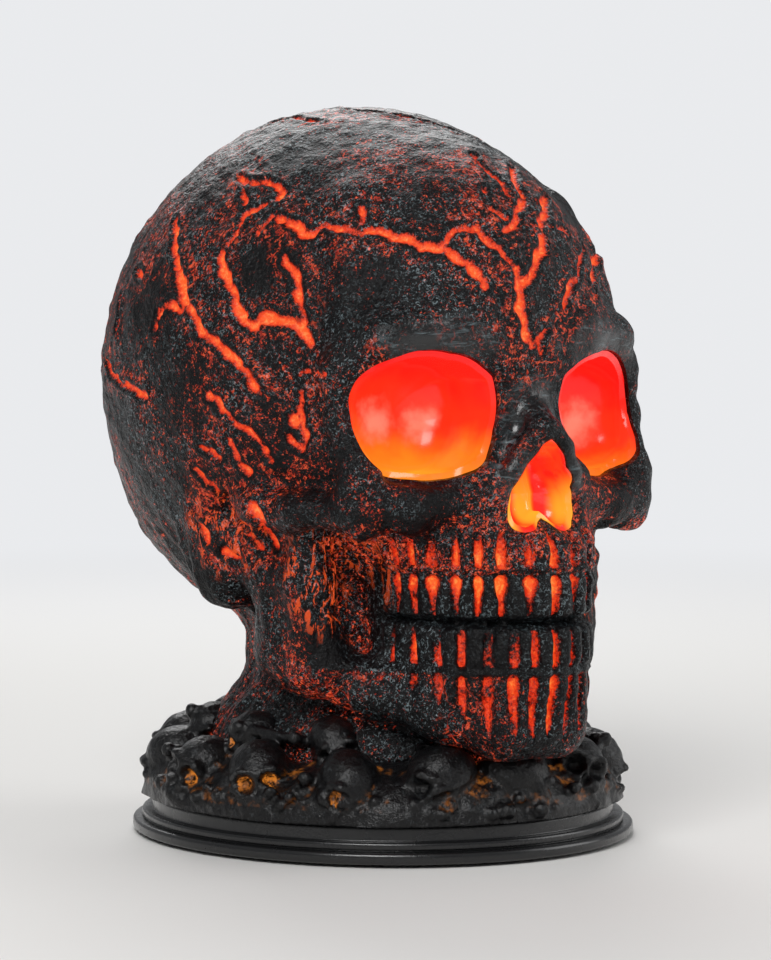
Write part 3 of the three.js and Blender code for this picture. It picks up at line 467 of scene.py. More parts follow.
skin_grain = 1.05
rim_level = 9
least_wall = 1.3
skin = raise_skin("skull_skin", 200, 170, 6, 0.0)
apply_modifier(skin, "even_grain", "REMESH", mode="VOXEL", voxel_size=skin_grain, use_smooth_shade=True)
skin_at = places_of(skin)
above = skin_at[:, 2] > rim_level
skin_at[above] = settle(skin_at[above], skull_form)
put_places(skin, skin_at)
bridge_sides = skin.vertex_groups.new(name="bridge_sides")
off_bridge = lump(folded(skin_at), (10, -68, 125), (11, 15, 23))
for number in np.flatnonzero(off_bridge < 0).tolist():
    bridge_sides.add([number], min(1, -off_bridge[number] / 4), "REPLACE")
apply_modifier(skin, "ease", "SMOOTH", factor=0.6, iterations=26, vertex_group="bridge_sides")
skin_at = places_of(skin)
set_back = copy_of(skin, "set_back")
put_places(set_back, skin_at - directions_of(skin) * least_wall)

# Cracks in the paint: routes read off the photograph, pixel by pixel, each after half its width
# in millimetres, and thrown onto the moulding along the camera's rays. The far side repeats them
# turned and shifted, and the back and the crown, which the photograph doesn't show, have their own.
crack_pixels = {
    "brow_to_vault": (1.7, (280, 217), (296, 223), (310, 234), (323, 225), (339, 227), (357, 232), (371, 229),
                      (388, 235), (409, 241), (429, 246), (443, 250), (453, 258), (467, 264), (477, 274),
                      (487, 286)),
    "vault_spur": (1.0, (361, 205), (363, 218), (361, 234)),
    "vault_branch": (1.2, (443, 246), (447, 236), (461, 230), (477, 226), (488, 240), (504, 254)),
    "forehead_left": (1.2, (514, 169), (516, 183), (524, 201), (516, 209), (514, 224), (508, 232)),
    "forehead_low": (1.1, (510, 258), (518, 272), (521, 283)),
    "forehead_stem": (1.6, (546, 197), (545, 213), (540, 223), (544, 236), (538, 258), (534, 272), (522, 284),
                      (518, 304), (524, 319), (526, 337), (532, 349)),
    "forehead_right": (1.0, (546, 223), (560, 225), (566, 233)),
    "forehead_foot": (0.9, (548, 331), (538, 339), (542, 353)),
    "streak_one": (0.9, (484, 185), (487, 199)),
    "streak_two": (0.9, (492, 207), (506, 219)),
    "streak_three": (1.0, (473, 155), (483, 165), (496, 177), (512, 195)),
    "streak_four": (0.9, (484, 137), (502, 147)),
    "far_temple": (1.2, (581, 242), (583, 258), (579, 278), (571, 290), (566, 298), (568, 310)),
    "behind_ear": (1.7, (175, 219), (174, 238), (174, 258), (177, 278), (183, 298), (191, 313), (199, 329),
                   (213, 343), (228, 355), (244, 369), (253, 385), (268, 397)),
    "above_ear_one": (1.3, (210, 395), (220, 404), (229, 421), (236, 424), (251, 434), (264, 445),
                      (270, 460)),
    "above_ear_two": (1.1, (229, 439), (236, 458), (249, 472)),
    "above_ear_three": (1.0, (201, 448), (220, 458)),
    "above_ear_four": (1.0, (195, 471), (208, 482), (220, 493)),
    "hook": (1.4, (153, 333), (159, 317), (167, 308), (181, 310)),
    "side_main": (1.8, (221, 254), (222, 272), (230, 286), (236, 302), (242, 317), (254, 329), (262, 319),
                  (274, 319), (290, 323), (302, 331), (313, 343)),
    "side_branch": (1.5, (302, 321), (302, 306), (298, 288), (296, 274), (282, 256)),
    "side_top": (1.2, (228, 246), (240, 224), (246, 213), (262, 205), (280, 199), (286, 191), (268, 179),
                 (252, 183)),
    "side_spur_one": (1.3, (242, 175), (244, 187), (243, 203)),
    "side_spur_two": (1.1, (258, 230), (272, 215)),
    "rear_one": (1.1, (137, 268), (143, 278)),
    "rear_two": (1.1, (120, 300), (116, 333)),
    "rear_three": (1.3, (107, 365), (116, 376), (134, 389), (146, 397)),
    "temple_blob": (2.2, (292, 416), (294, 422)),
    "temple_one": (1.2, (299, 391), (303, 420), (306, 448), (286, 437)),
    "temple_two": (1.0, (301, 376), (323, 373)),
    "ear_wedge_one": (1.6, (251, 508), (264, 526), (277, 548)),
    "ear_wedge_two": (1.2, (253, 535), (262, 546)),
    "mastoid_one": (1.6, (201, 530), (208, 541)),
    "mastoid_two": (1.5, (225, 554), (238, 558)),
}
crack_bearings = {
    "nape_one": (1.5, (-128, 35), (-140, 28), (-150, 30), (-160, 22), (-172, 20), (-182, 10), (-190, 4)),
    "nape_two": (1.3, (-150, 30), (-152, 42), (-160, 52), (-175, 60)),
    "nape_three": (1.3, (-160, 22), (-158, 10), (-165, -2), (-160, -14)),
    "nape_four": (1.5, (150, 48), (148, 36), (156, 26), (150, 14), (140, 6), (138, -8)),
    "nape_five": (1.1, (156, 26), (168, 30), (176, 38)),
    "nape_six": (1.1, (140, 6), (128, 10), (118, 4)),
    "nape_seven": (1.2, (-135, 5), (-142, -6), (-138, -18)),
    "nape_eight": (1.1, (176, -8), (170, -18), (176, -27)),
    "crown_one": (1.4, (60, 62), (85, 66), (110, 60), (128, 52)),
    "crown_two": (1.4, (-60, 70), (-90, 74), (-130, 66)),
    "crown_three": (1.2, (20, 58), (8, 68), (-20, 76), (-80, 82)),
}
vault_middle = np.array([0, 12.5, 142])
pixel_step = 6
bearing_step = 4
crack_step = 0.8
repeated_beyond = 22
far_side_turn = math.radians(9)
far_side_lift = 3.5


def even_route(corners, spacing):
    """Places along a route through its corners, at even spacing."""
    corners = np.array(corners, float)
    reach = np.concatenate([[0], np.cumsum(np.linalg.norm(np.diff(corners, axis=0), axis=1))])
    wanted = np.linspace(0, reach[-1], max(3, round(reach[-1] / spacing)))
    return np.stack([np.interp(wanted, reach, corners[:, axis]) for axis in range(corners.shape[1])], axis=1)


def seen_at(pixels):
    """Where the camera's rays through these pixels meet the moulding."""
    rays = np.stack([pixels[:, 0] - short_side_pixels / 2, long_side_pixels / 2 - pixels[:, 1],
                     np.full(len(pixels), -focal_pixels, float)], axis=1)
    rays = rays @ np.array(camera.matrix_world.to_3x3()).T
    rays /= np.linalg.norm(rays, axis=1)[:, None]
    start = (np.array(camera_place) - [0, lamp_middle, 0]) / mm
    near = camera_distance / mm - 200
    reach = slide_in(skull_form, start, -rays, np.full(len(rays), -near), turns=60)
    return start - rays * reach[:, None]


def tree_of(places):
    """A search tree that finds the nearest of these places."""
    tree = kdtree.KDTree(len(places))
    for number, place in enumerate(places):
        tree.insert(place, number)
    tree.balance()
    return tree


bpy.context.view_layer.update()
crack_runs = []
for half_width, *pixels in crack_pixels.values():
    run = seen_at(even_route(pixels, pixel_step))
    run = run[np.abs(skull_form(run)) < 1]
    if len(run) > 1:
        crack_runs.append((half_width, run))
for half_width, run in list(crack_runs):
    if run[:, 0].mean() < -repeated_beyond:
        turned = run * [-1, 1, 1] - vault_middle
        x = turned[:, 0] * math.cos(far_side_turn) - turned[:, 1] * math.sin(far_side_turn)
        y = turned[:, 0] * math.sin(far_side_turn) + turned[:, 1] * math.cos(far_side_turn)
        moved = np.stack([x, y, turned[:, 2] - far_side_lift], axis=1) + vault_middle
        crack_runs.append((half_width, settle(moved, skull_form, turns=14)))
for half_width, *bearings in crack_bearings.values():
    bearings = np.radians(even_route(bearings, bearing_step))
    rays = np.stack([np.sin(bearings[:, 0]) * np.cos(bearings[:, 1]),
                     -np.cos(bearings[:, 0]) * np.cos(bearings[:, 1]), np.sin(bearings[:, 1])], axis=1)
    reach = slide_in(skull_form, vault_middle, rays, np.full(len(rays), far_out))
    crack_runs.append((half_width, vault_middle + rays * reach[:, None]))

noise.seed_set(4)
crack_places = []
crack_widths = []
for half_width, run in crack_runs:
    for place in even_route(run, crack_step):
        sway = noise.noise_vector(Vector(place) / 5) * 1.5 + noise.noise_vector(Vector(place) / 1.9) * 0.7
        swell = noise.noise(Vector(place) / 4 + Vector((7, 0, 0))) + 0.5 * noise.noise(Vector(place) / 1.6)
        crack_places.append(Vector(place) + sway)
        crack_widths.append(half_width * (0.78 + 0.55 * swell))
crack_tree = tree_of(crack_places)


def crack_gap(at):
    """Distance from the edge of the nearest crack, below zero inside it."""
    nearest = [crack_tree.find_n(place, 4) for place in at]
    return np.array([min(off - crack_widths[number] for _, number, off in found) for found in nearest])


def rough_at(at, size, shift=0.0):
    """Soft noise from -1 to 1 with lumps of about this size."""
    return np.array([noise.noise(Vector(place) / size + Vector((shift, 0, 0))) for place in at])


def rope_at(at):
    """Ropes that run down the branch of the jaw, the back of the cheek and the neck."""
    around = np.arctan2(at[:, 0], -at[:, 1] - 10) * 46
    rope = np.array([noise.noise(Vector((a / 3.4, h / 17, 3))) for a, h in zip(around, at[:, 2])])
    side = np.clip((at[:, 1] + 40) / 8, 0, 1) + np.clip((np.abs(at[:, 0]) - 34) / 4, 0, 1)
    return rope * np.clip(side, 0, 1) * between(at[:, 2], 30, 100, 14)


crown_level = 226.3
mirrored_at = folded(skin_at)
brow_band = ridge(mirrored_at, 1, (2, -74, 149, 2), (24, -77, 154, 4.5), (42, -69, 152, 3))
bridge_band = ridge(mirrored_at, 1, (0, -70, 146, 5), (2, -76, 134, 6), (8, -82, 120, 4), (12, -84, 112, 3))
skin_smooth = within(np.minimum(brow_band, bridge_band) + 2.5 * rough_at(skin_at, 5, 2), 6)
cheek_pit = lump(mirrored_at, (50, -48, 84), (19, 17, 19))
ear_pit = lump(mirrored_at, (62, -8, 97), (13, 15, 15))
skin_deep = within(cheek_pit, 6) * np.clip((99 - skin_at[:, 2]) / 9, 0.08, 1)
skin_deep = np.maximum(skin_deep, within(ear_pit, 6))
skin_crack = np.full(len(skin_at), 9.0)
skin_crack[above] = crack_gap(skin_at[above])
skin_slot = slot_gap(mirrored_at)
face_patch = within(lump(mirrored_at, (0, -64, 84), (40, 34, 34)), 12)
skin_wear = (np.clip(0.5 - skin_crack / 12, 0, 0.5) + 0.34 * face_patch + 0.5 * rough_at(skin_at, 24)
             + 0.25 * skin_deep + 0.1)
row_of_teeth = between(skin_at[:, 2], 56.5, 84.5, 2) * np.clip((-38 - skin_at[:, 1]) / 6, 0, 1)
gum_patch = between(skin_at[:, 2], 86, 100, 5) * np.clip((-50 - skin_at[:, 1]) / 8, 0, 1)
skin_wear += gum_patch * (0.1 + 0.9 * rough_at(skin_at * [1, 1, 0.6], 5, 21)) - 0.9 * row_of_teeth
wear_cap = 0.36 + 0.3 * rough_at(skin_at, 7, 31)
crack_rim = np.exp(-((skin_crack - 1.0) / 0.6) ** 2)
skin_wear = np.clip(skin_wear, -1, wear_cap) - 0.45 * crack_rim
groove = 1.6 * np.clip((0.5 - skin_crack) / 1.7, 0, 1) ** 0.7
lip = 0.45 * np.exp(-((skin_crack - 1.3) / 0.9) ** 2)
lumps = 0.6 * rough_at(skin_at, 9) + 0.42 * rough_at(skin_at, 3.6, 5) + 1.4 * rope_at(skin_at)
pits = 1.2 * skin_deep * rough_at(skin_at, 4.2, 11)
skin_at += directions_of(skin) * (lip - groove + (lumps + pits) * (1 - 0.97 * skin_smooth))[:, None]
skin_at[:, 2] = np.minimum(skin_at[:, 2], crown_level)
put_places(skin, skin_at)
skin_tree = tree_of(skin_at)

# Eye and nose openings: each is a cup with straight sides towards the front and a round bowl
# behind. The front half has the whole cup cut out, and its glowing window is the cup's thin wall.
eye_middle = (30, -58, 131)
eye_depth = 13
eye_angles = [0, 16, 28, 40, 60, 76, 101, 120, 135, 147, 156, 168, 180, 194, 210, 221, 232, 245, 264, 288,
              310, 322, 330, 340, 351, 360]
eye_radii = [21.3, 22, 22.4, 21.5, 20, 19.5, 18.6, 19.3, 19.9, 20.9, 20.3, 19.7, 19.0, 18.2, 18.6, 19.0,
             19.0, 19.2, 18.8, 19.4, 21.7, 22.6, 23.2, 22.8, 21.7, 21.3]
nose_middle = (0, -79.8, 108)
nose_depth = 9
nose_angles = [-90, -76, -68, -56, -43, -30, -14, 11, 47, 71, 90]
nose_radii = [7, 8.4, 11, 13.4, 14.4, 13.8, 12.4, 10.7, 11, 13.6, 16.4]
window_gap = 0.3
window_wall = 1.7


def eye_radius(around):
    return np.interp(np.degrees(around) % 360, eye_angles, eye_radii)


def nose_radius(around):
    return np.interp(np.degrees(np.arctan2(np.sin(around), np.abs(np.cos(around)))), nose_angles, nose_radii)


def cup(name, radius_at, middle, depth, shrink, side, lean, septum=0.0):
    """A solid plug for one opening, smaller all round by shrink. Side is -1 for the mirrored eye,
    lean takes the upper part deeper, and septum is how far the middle of the bowl stands forward."""
    plug = unit_ball(name, 96, 48)
    ball = places_of(plug)
    around = np.arctan2(ball[:, 1], ball[:, 0])
    polar = np.arccos(np.clip(-ball[:, 2], -1, 1)) / math.pi
    in_bowl = polar < 0.5
    share = np.where(in_bowl, np.sin(np.clip(polar, 0, 0.5) * math.pi), np.clip((1 - polar) / 0.12, 0, 1))
    bowl = (depth - shrink) * np.sqrt(np.clip(1 - share ** 2.4, 0, 1))
    reach = (radius_at(around) - shrink) * share
    across = reach * np.cos(around)
    up = reach * np.sin(around)
    back = np.where(in_bowl, bowl, -34 * np.clip((polar - 0.5) / 0.38, 0, 1))
    back += lean * np.clip(up, 0, None)
    back -= septum * np.exp(-(across / 2.6) ** 2) * np.where(in_bowl, 1 - share ** 4, 0)
    put_places(plug, (np.stack([across, back, up], axis=1) + middle) * [side, 1, 1])
    if side < 0:
        plug.data.flip_normals()
    return plug


openings = (("right_eye_window", eye_radius, eye_middle, eye_depth, -1, 0, 0),
            ("left_eye_window", eye_radius, eye_middle, eye_depth, 1, 0, 0),
            ("nose_window", nose_radius, nose_middle, nose_depth, 1, 0.5, 3.5))
windows = []
for name, radius_at, middle, depth, side, lean, septum in openings:
    window = cup(name + "_glow", radius_at, middle, depth, window_gap, side, lean, septum)
    combine(window, "INTERSECT", skin if name == "nose_window" else set_back, used_up=False)
    inside = cup("inside", radius_at, middle, depth, window_gap + window_wall, side, lean, septum)
    combine(window, "DIFFERENCE", inside)
    close_up(window)
    windows.append((name, window))


def times(value, *others):
    for other in others:
        value = calc("MULTIPLY", value, other)
    return value


def plus(value, *others):
    for other in others:
        value = calc("ADD", value, other)
    return value


def about_zero(value, width):
    """Noise from 0 to 1 moved to lie evenly about zero, and widened."""
    return times(calc("SUBTRACT", value, 0.5), width)


def tint(share, low, high):
    """A colour between two others."""
    return finish_step(share.id_data, "Mix", {0: share, 6: low, 7: high}, data_type="RGBA").outputs[2]


def grain(material, scale, detail=2.0, roughness=0.5, distortion=0.0, stretch=(1, 1, 1)):
    """Noise in the object's own metres, so that one lump is about 1 / scale wide."""
    tree = material.node_tree
    place = finish_step(tree, "TexCoord").outputs["Object"]
    sized = finish_step(tree, "Mapping", {"Vector": place, "Scale": stretch}).outputs["Vector"]
    clouds = {"Vector": sized, "Scale": scale, "Detail": detail, "Roughness": roughness,
              "Distortion": distortion}
    return finish_step(tree, "TexNoise", clouds).outputs["Fac"]


def apart(material):
    """The X, Y and Z of each place, in the object's own metres."""
    place = finish_step(material.node_tree, "TexCoord").outputs["Object"]
    return finish_step(material.node_tree, "SeparateXYZ", {0: place}).outputs


def noted(material, name):
    """A value that was noted down for each place of the mesh."""
    return finish_step(material.node_tree, "Attribute", attribute_name=name).outputs["Fac"]


def raised(height, distance, strength):
    bump = {"Height": height, "Distance": distance, "Strength": strength}
    return finish_step(height.id_data, "Bump", bump).outputs["Normal"]


def paint_over(piece, material):
    piece.data.materials.clear()
    piece.data.materials.append(material)


glow_top = (0.95, 0.008, 0.006, 1)
glow_middle = (1.0, 0.03, 0.007, 1)
glow_bottom = (1.0, 0.27, 0.012, 1)
glow_hot = (1.0, 0.50, 0.34, 1)
hot_spots = ((-0.0345, -0.0547, 0.129), (-0.0185, -0.0557, 0.1275), (0.0245, -0.0547, 0.129),
             (0.039, -0.0553, 0.1275))
hot_reach = (0.0085, 0.001)
red_heights = (0.130, 0.144)
amber_heights = (0.129, 0.110)
glow = new_finish("window_glow")
spot = apart(glow)
glow_height = plus(spot["Z"], about_zero(grain(glow, 70, 3), 0.018), times(spot["X"], 0.1))
spot_sway = about_zero(grain(glow, 170, 3), 0.011)
hot_share = 0
for hot_spot in hot_spots:
    sides = [calc("SUBTRACT", spot[axis], middle) for axis, middle in zip("XYZ", hot_spot)]
    off_spot = calc("SQRT", plus(*[times(side, side) for side in sides]))
    hot_share = calc("MAXIMUM", fade(plus(off_spot, spot_sway), *hot_reach), hot_share)
upper_glow = tint(fade(glow_height, *red_heights), glow_middle, glow_top)
glow_colour = tint(fade(glow_height, *amber_heights), upper_glow, glow_bottom)
glow_colour = tint(times(hot_share, 0.44), glow_colour, glow_hot)
finish_with(glow, Base_Color=(0.10, 0.004, 0.002, 1), Roughness=0.24, Emission_Color=glow_colour,
            Emission_Strength=0.97, Coat_Weight=0.22, Coat_Roughness=0.12, Specular_IOR_Level=0.3,
            Normal=raised(grain(glow, 140, 3), 0.0006, 0.25))

lobe_top = (1.0, 0.05, 0.01, 1)
lobe_bottom = (1.0, 0.42, 0.025, 1)
valley_red = (0.95, 0.012, 0.006, 1)
valley_starts = (0.0022, 0.0046)
valley_ends = (0.0105, 0.0070)
lobe_heights = (0.122, 0.102)
nose_glow = new_finish("nose_glow")
spot = apart(nose_glow)
sideways = calc("ABSOLUTE", spot["X"])
valley = times(fade(sideways, *valley_starts), fade(sideways, *valley_ends))
lobe = tint(fade(spot["Z"], *lobe_heights), lobe_top, lobe_bottom)
finish_with(nose_glow, Base_Color=(0.16, 0.01, 0.003, 1), Roughness=0.25,
            Emission_Color=tint(valley, lobe, valley_red), Emission_Strength=0.95, Coat_Weight=0.4)

for name, window in windows:
    to_lamp(window)
    paint_over(window, nose_glow if name == "nose_window" else glow)
    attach(window, "lamp")
    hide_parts(name)
    pick_only(window)
    bpy.ops.object.shade_smooth_by_angle(angle=math.radians(50))

# Front and back halves of the moulding: one wall thick, open below, meeting where the head is
# widest. The paint's cracks, worn specks and slots between the teeth let the light through.
wall = 4.2
seam = 12.5
foot_level = 11.4
cheek_room_radius = 15
inner = raise_skin("inner_skin", 110, 100, -6, -wall)
combine(inner, "INTERSECT", set_back)
for side in (-1, 1):
    bpy.ops.mesh.primitive_uv_sphere_add(segments=48, ring_count=32, radius=cheek_room_radius,
                                         location=(40 * side, -42, 83))
    cheek_room = bpy.context.object
    bpy.ops.object.transform_apply(location=True)
    combine(inner, "DIFFERENCE", cheek_room)
combine(skin, "DIFFERENCE", inner)
combine(skin, "DIFFERENCE", box_between("below", (-90, -110, -20), (90, 110, foot_level)))
back = copy_of(skin, "back_half")
combine(back, "INTERSECT", box_between("behind", (-100, seam, 0), (100, 120, 240)))
skin.name = "front_half"
combine(skin, "INTERSECT", box_between("before", (-100, -120, 0), (100, seam, 240)))
for name, radius_at, middle, depth, side, lean, septum in openings:
    combine(skin, "DIFFERENCE", cup("opening", radius_at, middle, depth, 0, side, lean))


def crazed(material, scale, sway, width):
    """1 along the lines of a net of fine cracks, 0 between them."""
    tree = material.node_tree
    place = finish_step(tree, "TexCoord").outputs["Object"]
    swirl = finish_step(tree, "TexNoise", {"Vector": place, "Scale": scale * 0.8, "Detail": 3})
    moved = finish_step(tree, "VectorMath", {0: swirl.outputs["Color"], 1: (sway, sway, sway), 2: place},
                        operation="MULTIPLY_ADD")
    cells = finish_step(tree, "TexVoronoi", {"Vector": moved.outputs["Vector"], "Scale": scale},
                        feature="DISTANCE_TO_EDGE")
    return fade(cells.outputs["Distance"], width, width * 0.35)


paint = new_finish("crackled_paint")
ragged = about_zero(grain(paint, 900, 3, 0.65), 1.7)
crack_edge = plus(noted(paint, "crack"), ragged)
crack_share = fade(crack_edge, 0.3, -0.3)
crack_core = fade(crack_edge, -0.1, -1.1)
slot_edge = plus(noted(paint, "slot"), ragged)
slot_share = fade(slot_edge, 0.35, -0.25)
slot_core = fade(slot_edge, -0.1, -1.0)
smooth_share = noted(paint, "smooth")
wear = noted(paint, "wear")
fine = times(grain(paint, 1500, 4, 0.75, 0.4), 0.6)
coarse = times(grain(paint, 430, 3, 0.6, 0.8), 0.4)
specks = fade(plus(fine, coarse, times(wear, 0.19)), 0.585, 0.64)
crazing = times(crazed(paint, 230, 0.009, 0.075), fade(grain(paint, 620, 3, 0.6), 0.42, 0.56),
                fade(plus(grain(paint, 60, 2), times(wear, 0.22)), 0.60, 0.72))
speck_share = times(calc("MAXIMUM", specks, crazing), calc("SUBTRACT", 1, smooth_share))
fibres = fade(grain(paint, 420, 4, 0.7, 0.8, (1, 1, 0.35)), 0.53, 0.60)
deep_share = times(noted(paint, "deep"), fibres)
# Grey-teal specks on the black: partly real dry-brushed paint, partly painted highlights on the stipple.
brush_and_highlight_specks = times(fade(grain(paint, 900, 4, 0.65, 1.2), 0.54, 0.64), fade(grain(paint, 38, 3), 0.34, 0.62))
# Painted highlight: grey-teal streaks along the smooth brow and nose bridge.
brow_highlight_streaks = fade(grain(paint, 420, 4, 0.6, 0.8, (0.35, 0.35, 1.5)), 0.52, 0.70)
brush_and_highlight_share = calc("MAXIMUM", times(brow_highlight_streaks, times(smooth_share, 0.8)),
                   times(brush_and_highlight_specks, calc("SUBTRACT", 0.9, times(smooth_share, 0.85))))

black = (0.0036, 0.0034, 0.0038, 1)
# Grey-teal colour for the dry-brushed paint and for the painted highlights.
dry_brush_and_highlight_grey = (0.13, 0.175, 0.19, 1)
bare_plastic = (0.25, 0.03, 0.01, 1)
dark = (0, 0, 0, 1)
deep_light = (0.70, 0.075, 0.012, 1)
edge_light = (0.60, 0.022, 0.006, 1)
speck_light = tint(fade(grain(paint, 700, 2), 0.40, 0.62), (0.36, 0.018, 0.006, 1), (0.82, 0.095, 0.030, 1))
mottle = fade(grain(paint, 800, 3, 0.6), 0.45, 0.66)
core_light = tint(mottle, (0.93, 0.105, 0.018, 1), (1.0, 0.27, 0.07, 1))
slot_light = tint(mottle, (0.97, 0.13, 0.02, 1), (1.0, 0.31, 0.06, 1))
light = tint(deep_share, dark, deep_light)
light = tint(speck_share, light, speck_light)
light = tint(crack_share, light, tint(crack_core, edge_light, core_light))
light = tint(slot_share, light, tint(slot_core, edge_light, slot_light))
bare_share = calc("MAXIMUM", crack_share, slot_share)
paint_colour = tint(bare_share, tint(brush_and_highlight_share, black, dry_brush_and_highlight_grey), bare_plastic)
stipple = plus(grain(paint, 700, 3, 0.6), times(grain(paint, 240, 2), 0.8))
stipple = times(stipple, calc("SUBTRACT", 1.1, smooth_share))
sheen = plus(0.16, times(calc("MAXIMUM", brush_and_highlight_share, smooth_share), 0.5))
finish_with(paint, Base_Color=paint_colour, Specular_IOR_Level=sheen,
            Roughness=calc("SUBTRACT", 0.36, times(smooth_share, 0.12)),
            Emission_Color=light, Emission_Strength=0.9, Normal=raised(stipple, 0.0011, 0.8))


def note_down(piece, name, values):
    """Keeps a value for each place of the mesh, for the piece's material to read."""
    layer = piece.data.attributes.new(name, "FLOAT", "POINT")
    layer.data.foreach_set("value", values.astype(np.float32))


# Places farther than this from the skin are on the wall's inner side, which stays plain black.
outer_reach = 1.3
for half, node_name in ((skin, "front_shell"), (back, "back_shell")):
    close_up(half)
    nearest = [skin_tree.find(place) for place in places_of(half)]
    number = np.array([found[1] for found in nearest])
    outside = np.array([found[2] for found in nearest]) < outer_reach
    for name, values, plain in (("crack", skin_crack, 9), ("slot", skin_slot, 9), ("smooth", skin_smooth, 1),
                                ("deep", skin_deep, 0), ("wear", skin_wear, -1)):
        note_down(half, name, np.where(outside, values[number], plain))
    to_lamp(half)
    paint_over(half, paint)
    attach(half, "lamp")
    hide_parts(node_name)
    pick_only(half)
    bpy.ops.object.shade_smooth_by_angle(angle=math.radians(62))

# Ring of small skulls: a rough mound round the neck with two rows of little skulls, loose bones
# and rubble, all cast as one piece and pressed against the moulding's foot.
little_ridges = {
    "brow": (1.2, (0.5, -8.4, 11.5, 1.4), (4.4, -8, 12.1, 1.5), (6.8, -5.4, 10.6, 1.2)),
    "eye_rim": (1, (6.9, -5.2, 7.4, 1.4), (3.2, -8.4, 6.2, 1.4)),
    "cheekbone": (1, (6.9, -5.2, 7.4, 1.1), (7.6, -1, 7.6, 0.9), (7.4, 3, 8.4, 1.1)),
    "jaw": (1.2, (0, -8.4, 1.4, 1.8), (3.6, -7.2, 1.5, 1.7), (5.8, -1.5, 3.2, 1.5), (6.2, 0.6, 7, 1.3)),
}


def little_form(places):
    """One little skull, about 17 mm wide, standing on its jaw and facing -Y."""
    at = folded(places)
    form = lump(at, (0, 1.5, 11.5), (8.6, 10.2, 8.4))
    form = merge(form, lump(at, (0, -5.5, 7), (5.6, 4.8, 5.6)), 2.5)
    for width, *points in little_ridges.values():
        form = merge(form, ridge(at, 1, *points), width)
    form = merge(form, lump(at, (0, -6.6, 4), (4.3, 3.6, 3.2)), 1)
    form = hollow(form, lump(at, (3.6, -9.8, 9), (3.0, 4.6, 2.8)), 0.6)
    form = hollow(form, lump(at, (0, -10.8, 6.2), (1.5, 3.2, 1.9)), 0.5)
    form = hollow(form, lump(at, (7.2, -4, 4.2), (2.4, 4, 1.9)), 0.8)
    front = np.clip(-at[:, 1] - 3, 0, 1)
    gap = np.clip(1 - np.abs(at[:, 0] % 1.7 - 0.85) / 0.4, 0, 1) * between(at[:, 2], 2.6, 5.8, 0.8)
    bite = between(at[:, 2], 3.9, 4.4, 0.5)
    return form + front * (0.7 * gap + 0.8 * bite)


little_middle = np.array([0, -0.8, 8.4])
little = unit_ball("little_skull", 72, 48)
little_ray = places_of(little)
little_reach = slide_in(little_form, little_middle, little_ray, np.full(len(little_ray), 14.0))
put_places(little, little_ray * np.maximum(little_reach, 1)[:, None])

pile_breadth = 147
pile_length = 159
pile_floor = 11.45
pile_middle = 51.5
pile_thickness = 22
pile_squash = 0.76
rubble_count = 170
rubble_turn = 137.5
lower_yaws = [60, -40, 20, 55, -30, 15, -60, 35, -20, 45, -50, 10, 32, 30, -72]
lower_pitches = [8, -15, 20, 0, -25, 12, -8, 25, -12, 5, 18, -10, 0, 22, 6]
lower_rolls = [-12, 20, -8, 25, 10, -22, 5, 15, -18, 8, -5, 20, -6, 24, -14]
upper_yaws = [30, -55, 40, -20, 65, -35, 10, 50, -45, 25, -15]
lower_reach = 0.868
lower_level = 21
lower_size = 1.08
upper_reach = 0.71
upper_level = 31
upper_size = 0.84


def on_pile(turn, reach, height):
    """A place on the oval pile, by its turn from the face, in degrees."""
    turn = math.radians(turn)
    across = math.sin(turn) * reach * pile_breadth / 2
    along = -math.cos(turn) * reach * pile_length / 2
    return Vector((across, along, height))


pile_parts = []
eye_spots = []
skull_spots = []
for number, (yaw, pitch, roll) in enumerate(zip(lower_yaws, lower_pitches, lower_rolls)):
    turn = (number + 0.1) / len(lower_yaws) * 360
    level = lower_level + 1.2 * math.sin(number * 2.3)
    skull_spots.append((turn, lower_reach, level, yaw, pitch, roll, lower_size))
for number, yaw in enumerate(upper_yaws):
    turn = (number + 0.45) / len(upper_yaws) * 360
    level = upper_level + 1.0 * math.sin(number * 1.7)
    pitch = 12 * math.sin(number * 2.9)
    roll = 20 * math.sin(number * 4.1)
    skull_spots.append((turn, upper_reach, level, yaw, pitch, roll, upper_size))
for turn, reach, height, yaw, pitch, roll, size in skull_spots:
    twin = copy_of(little, "little_twin")
    twin.rotation_euler = (math.radians(pitch), math.radians(roll), math.radians(turn + yaw))
    twin.location = on_pile(turn, reach, height)
    twin.scale = (size, size, size)
    pile_parts.append(twin)
    turned = twin.rotation_euler.to_matrix()
    for side in (-1, 1):
        eye = Vector((3.6 * side, -7, 9)) - Vector(little_middle)
        eye_spots.append(twin.location + turned @ eye * size)
bpy.data.objects.remove(little)

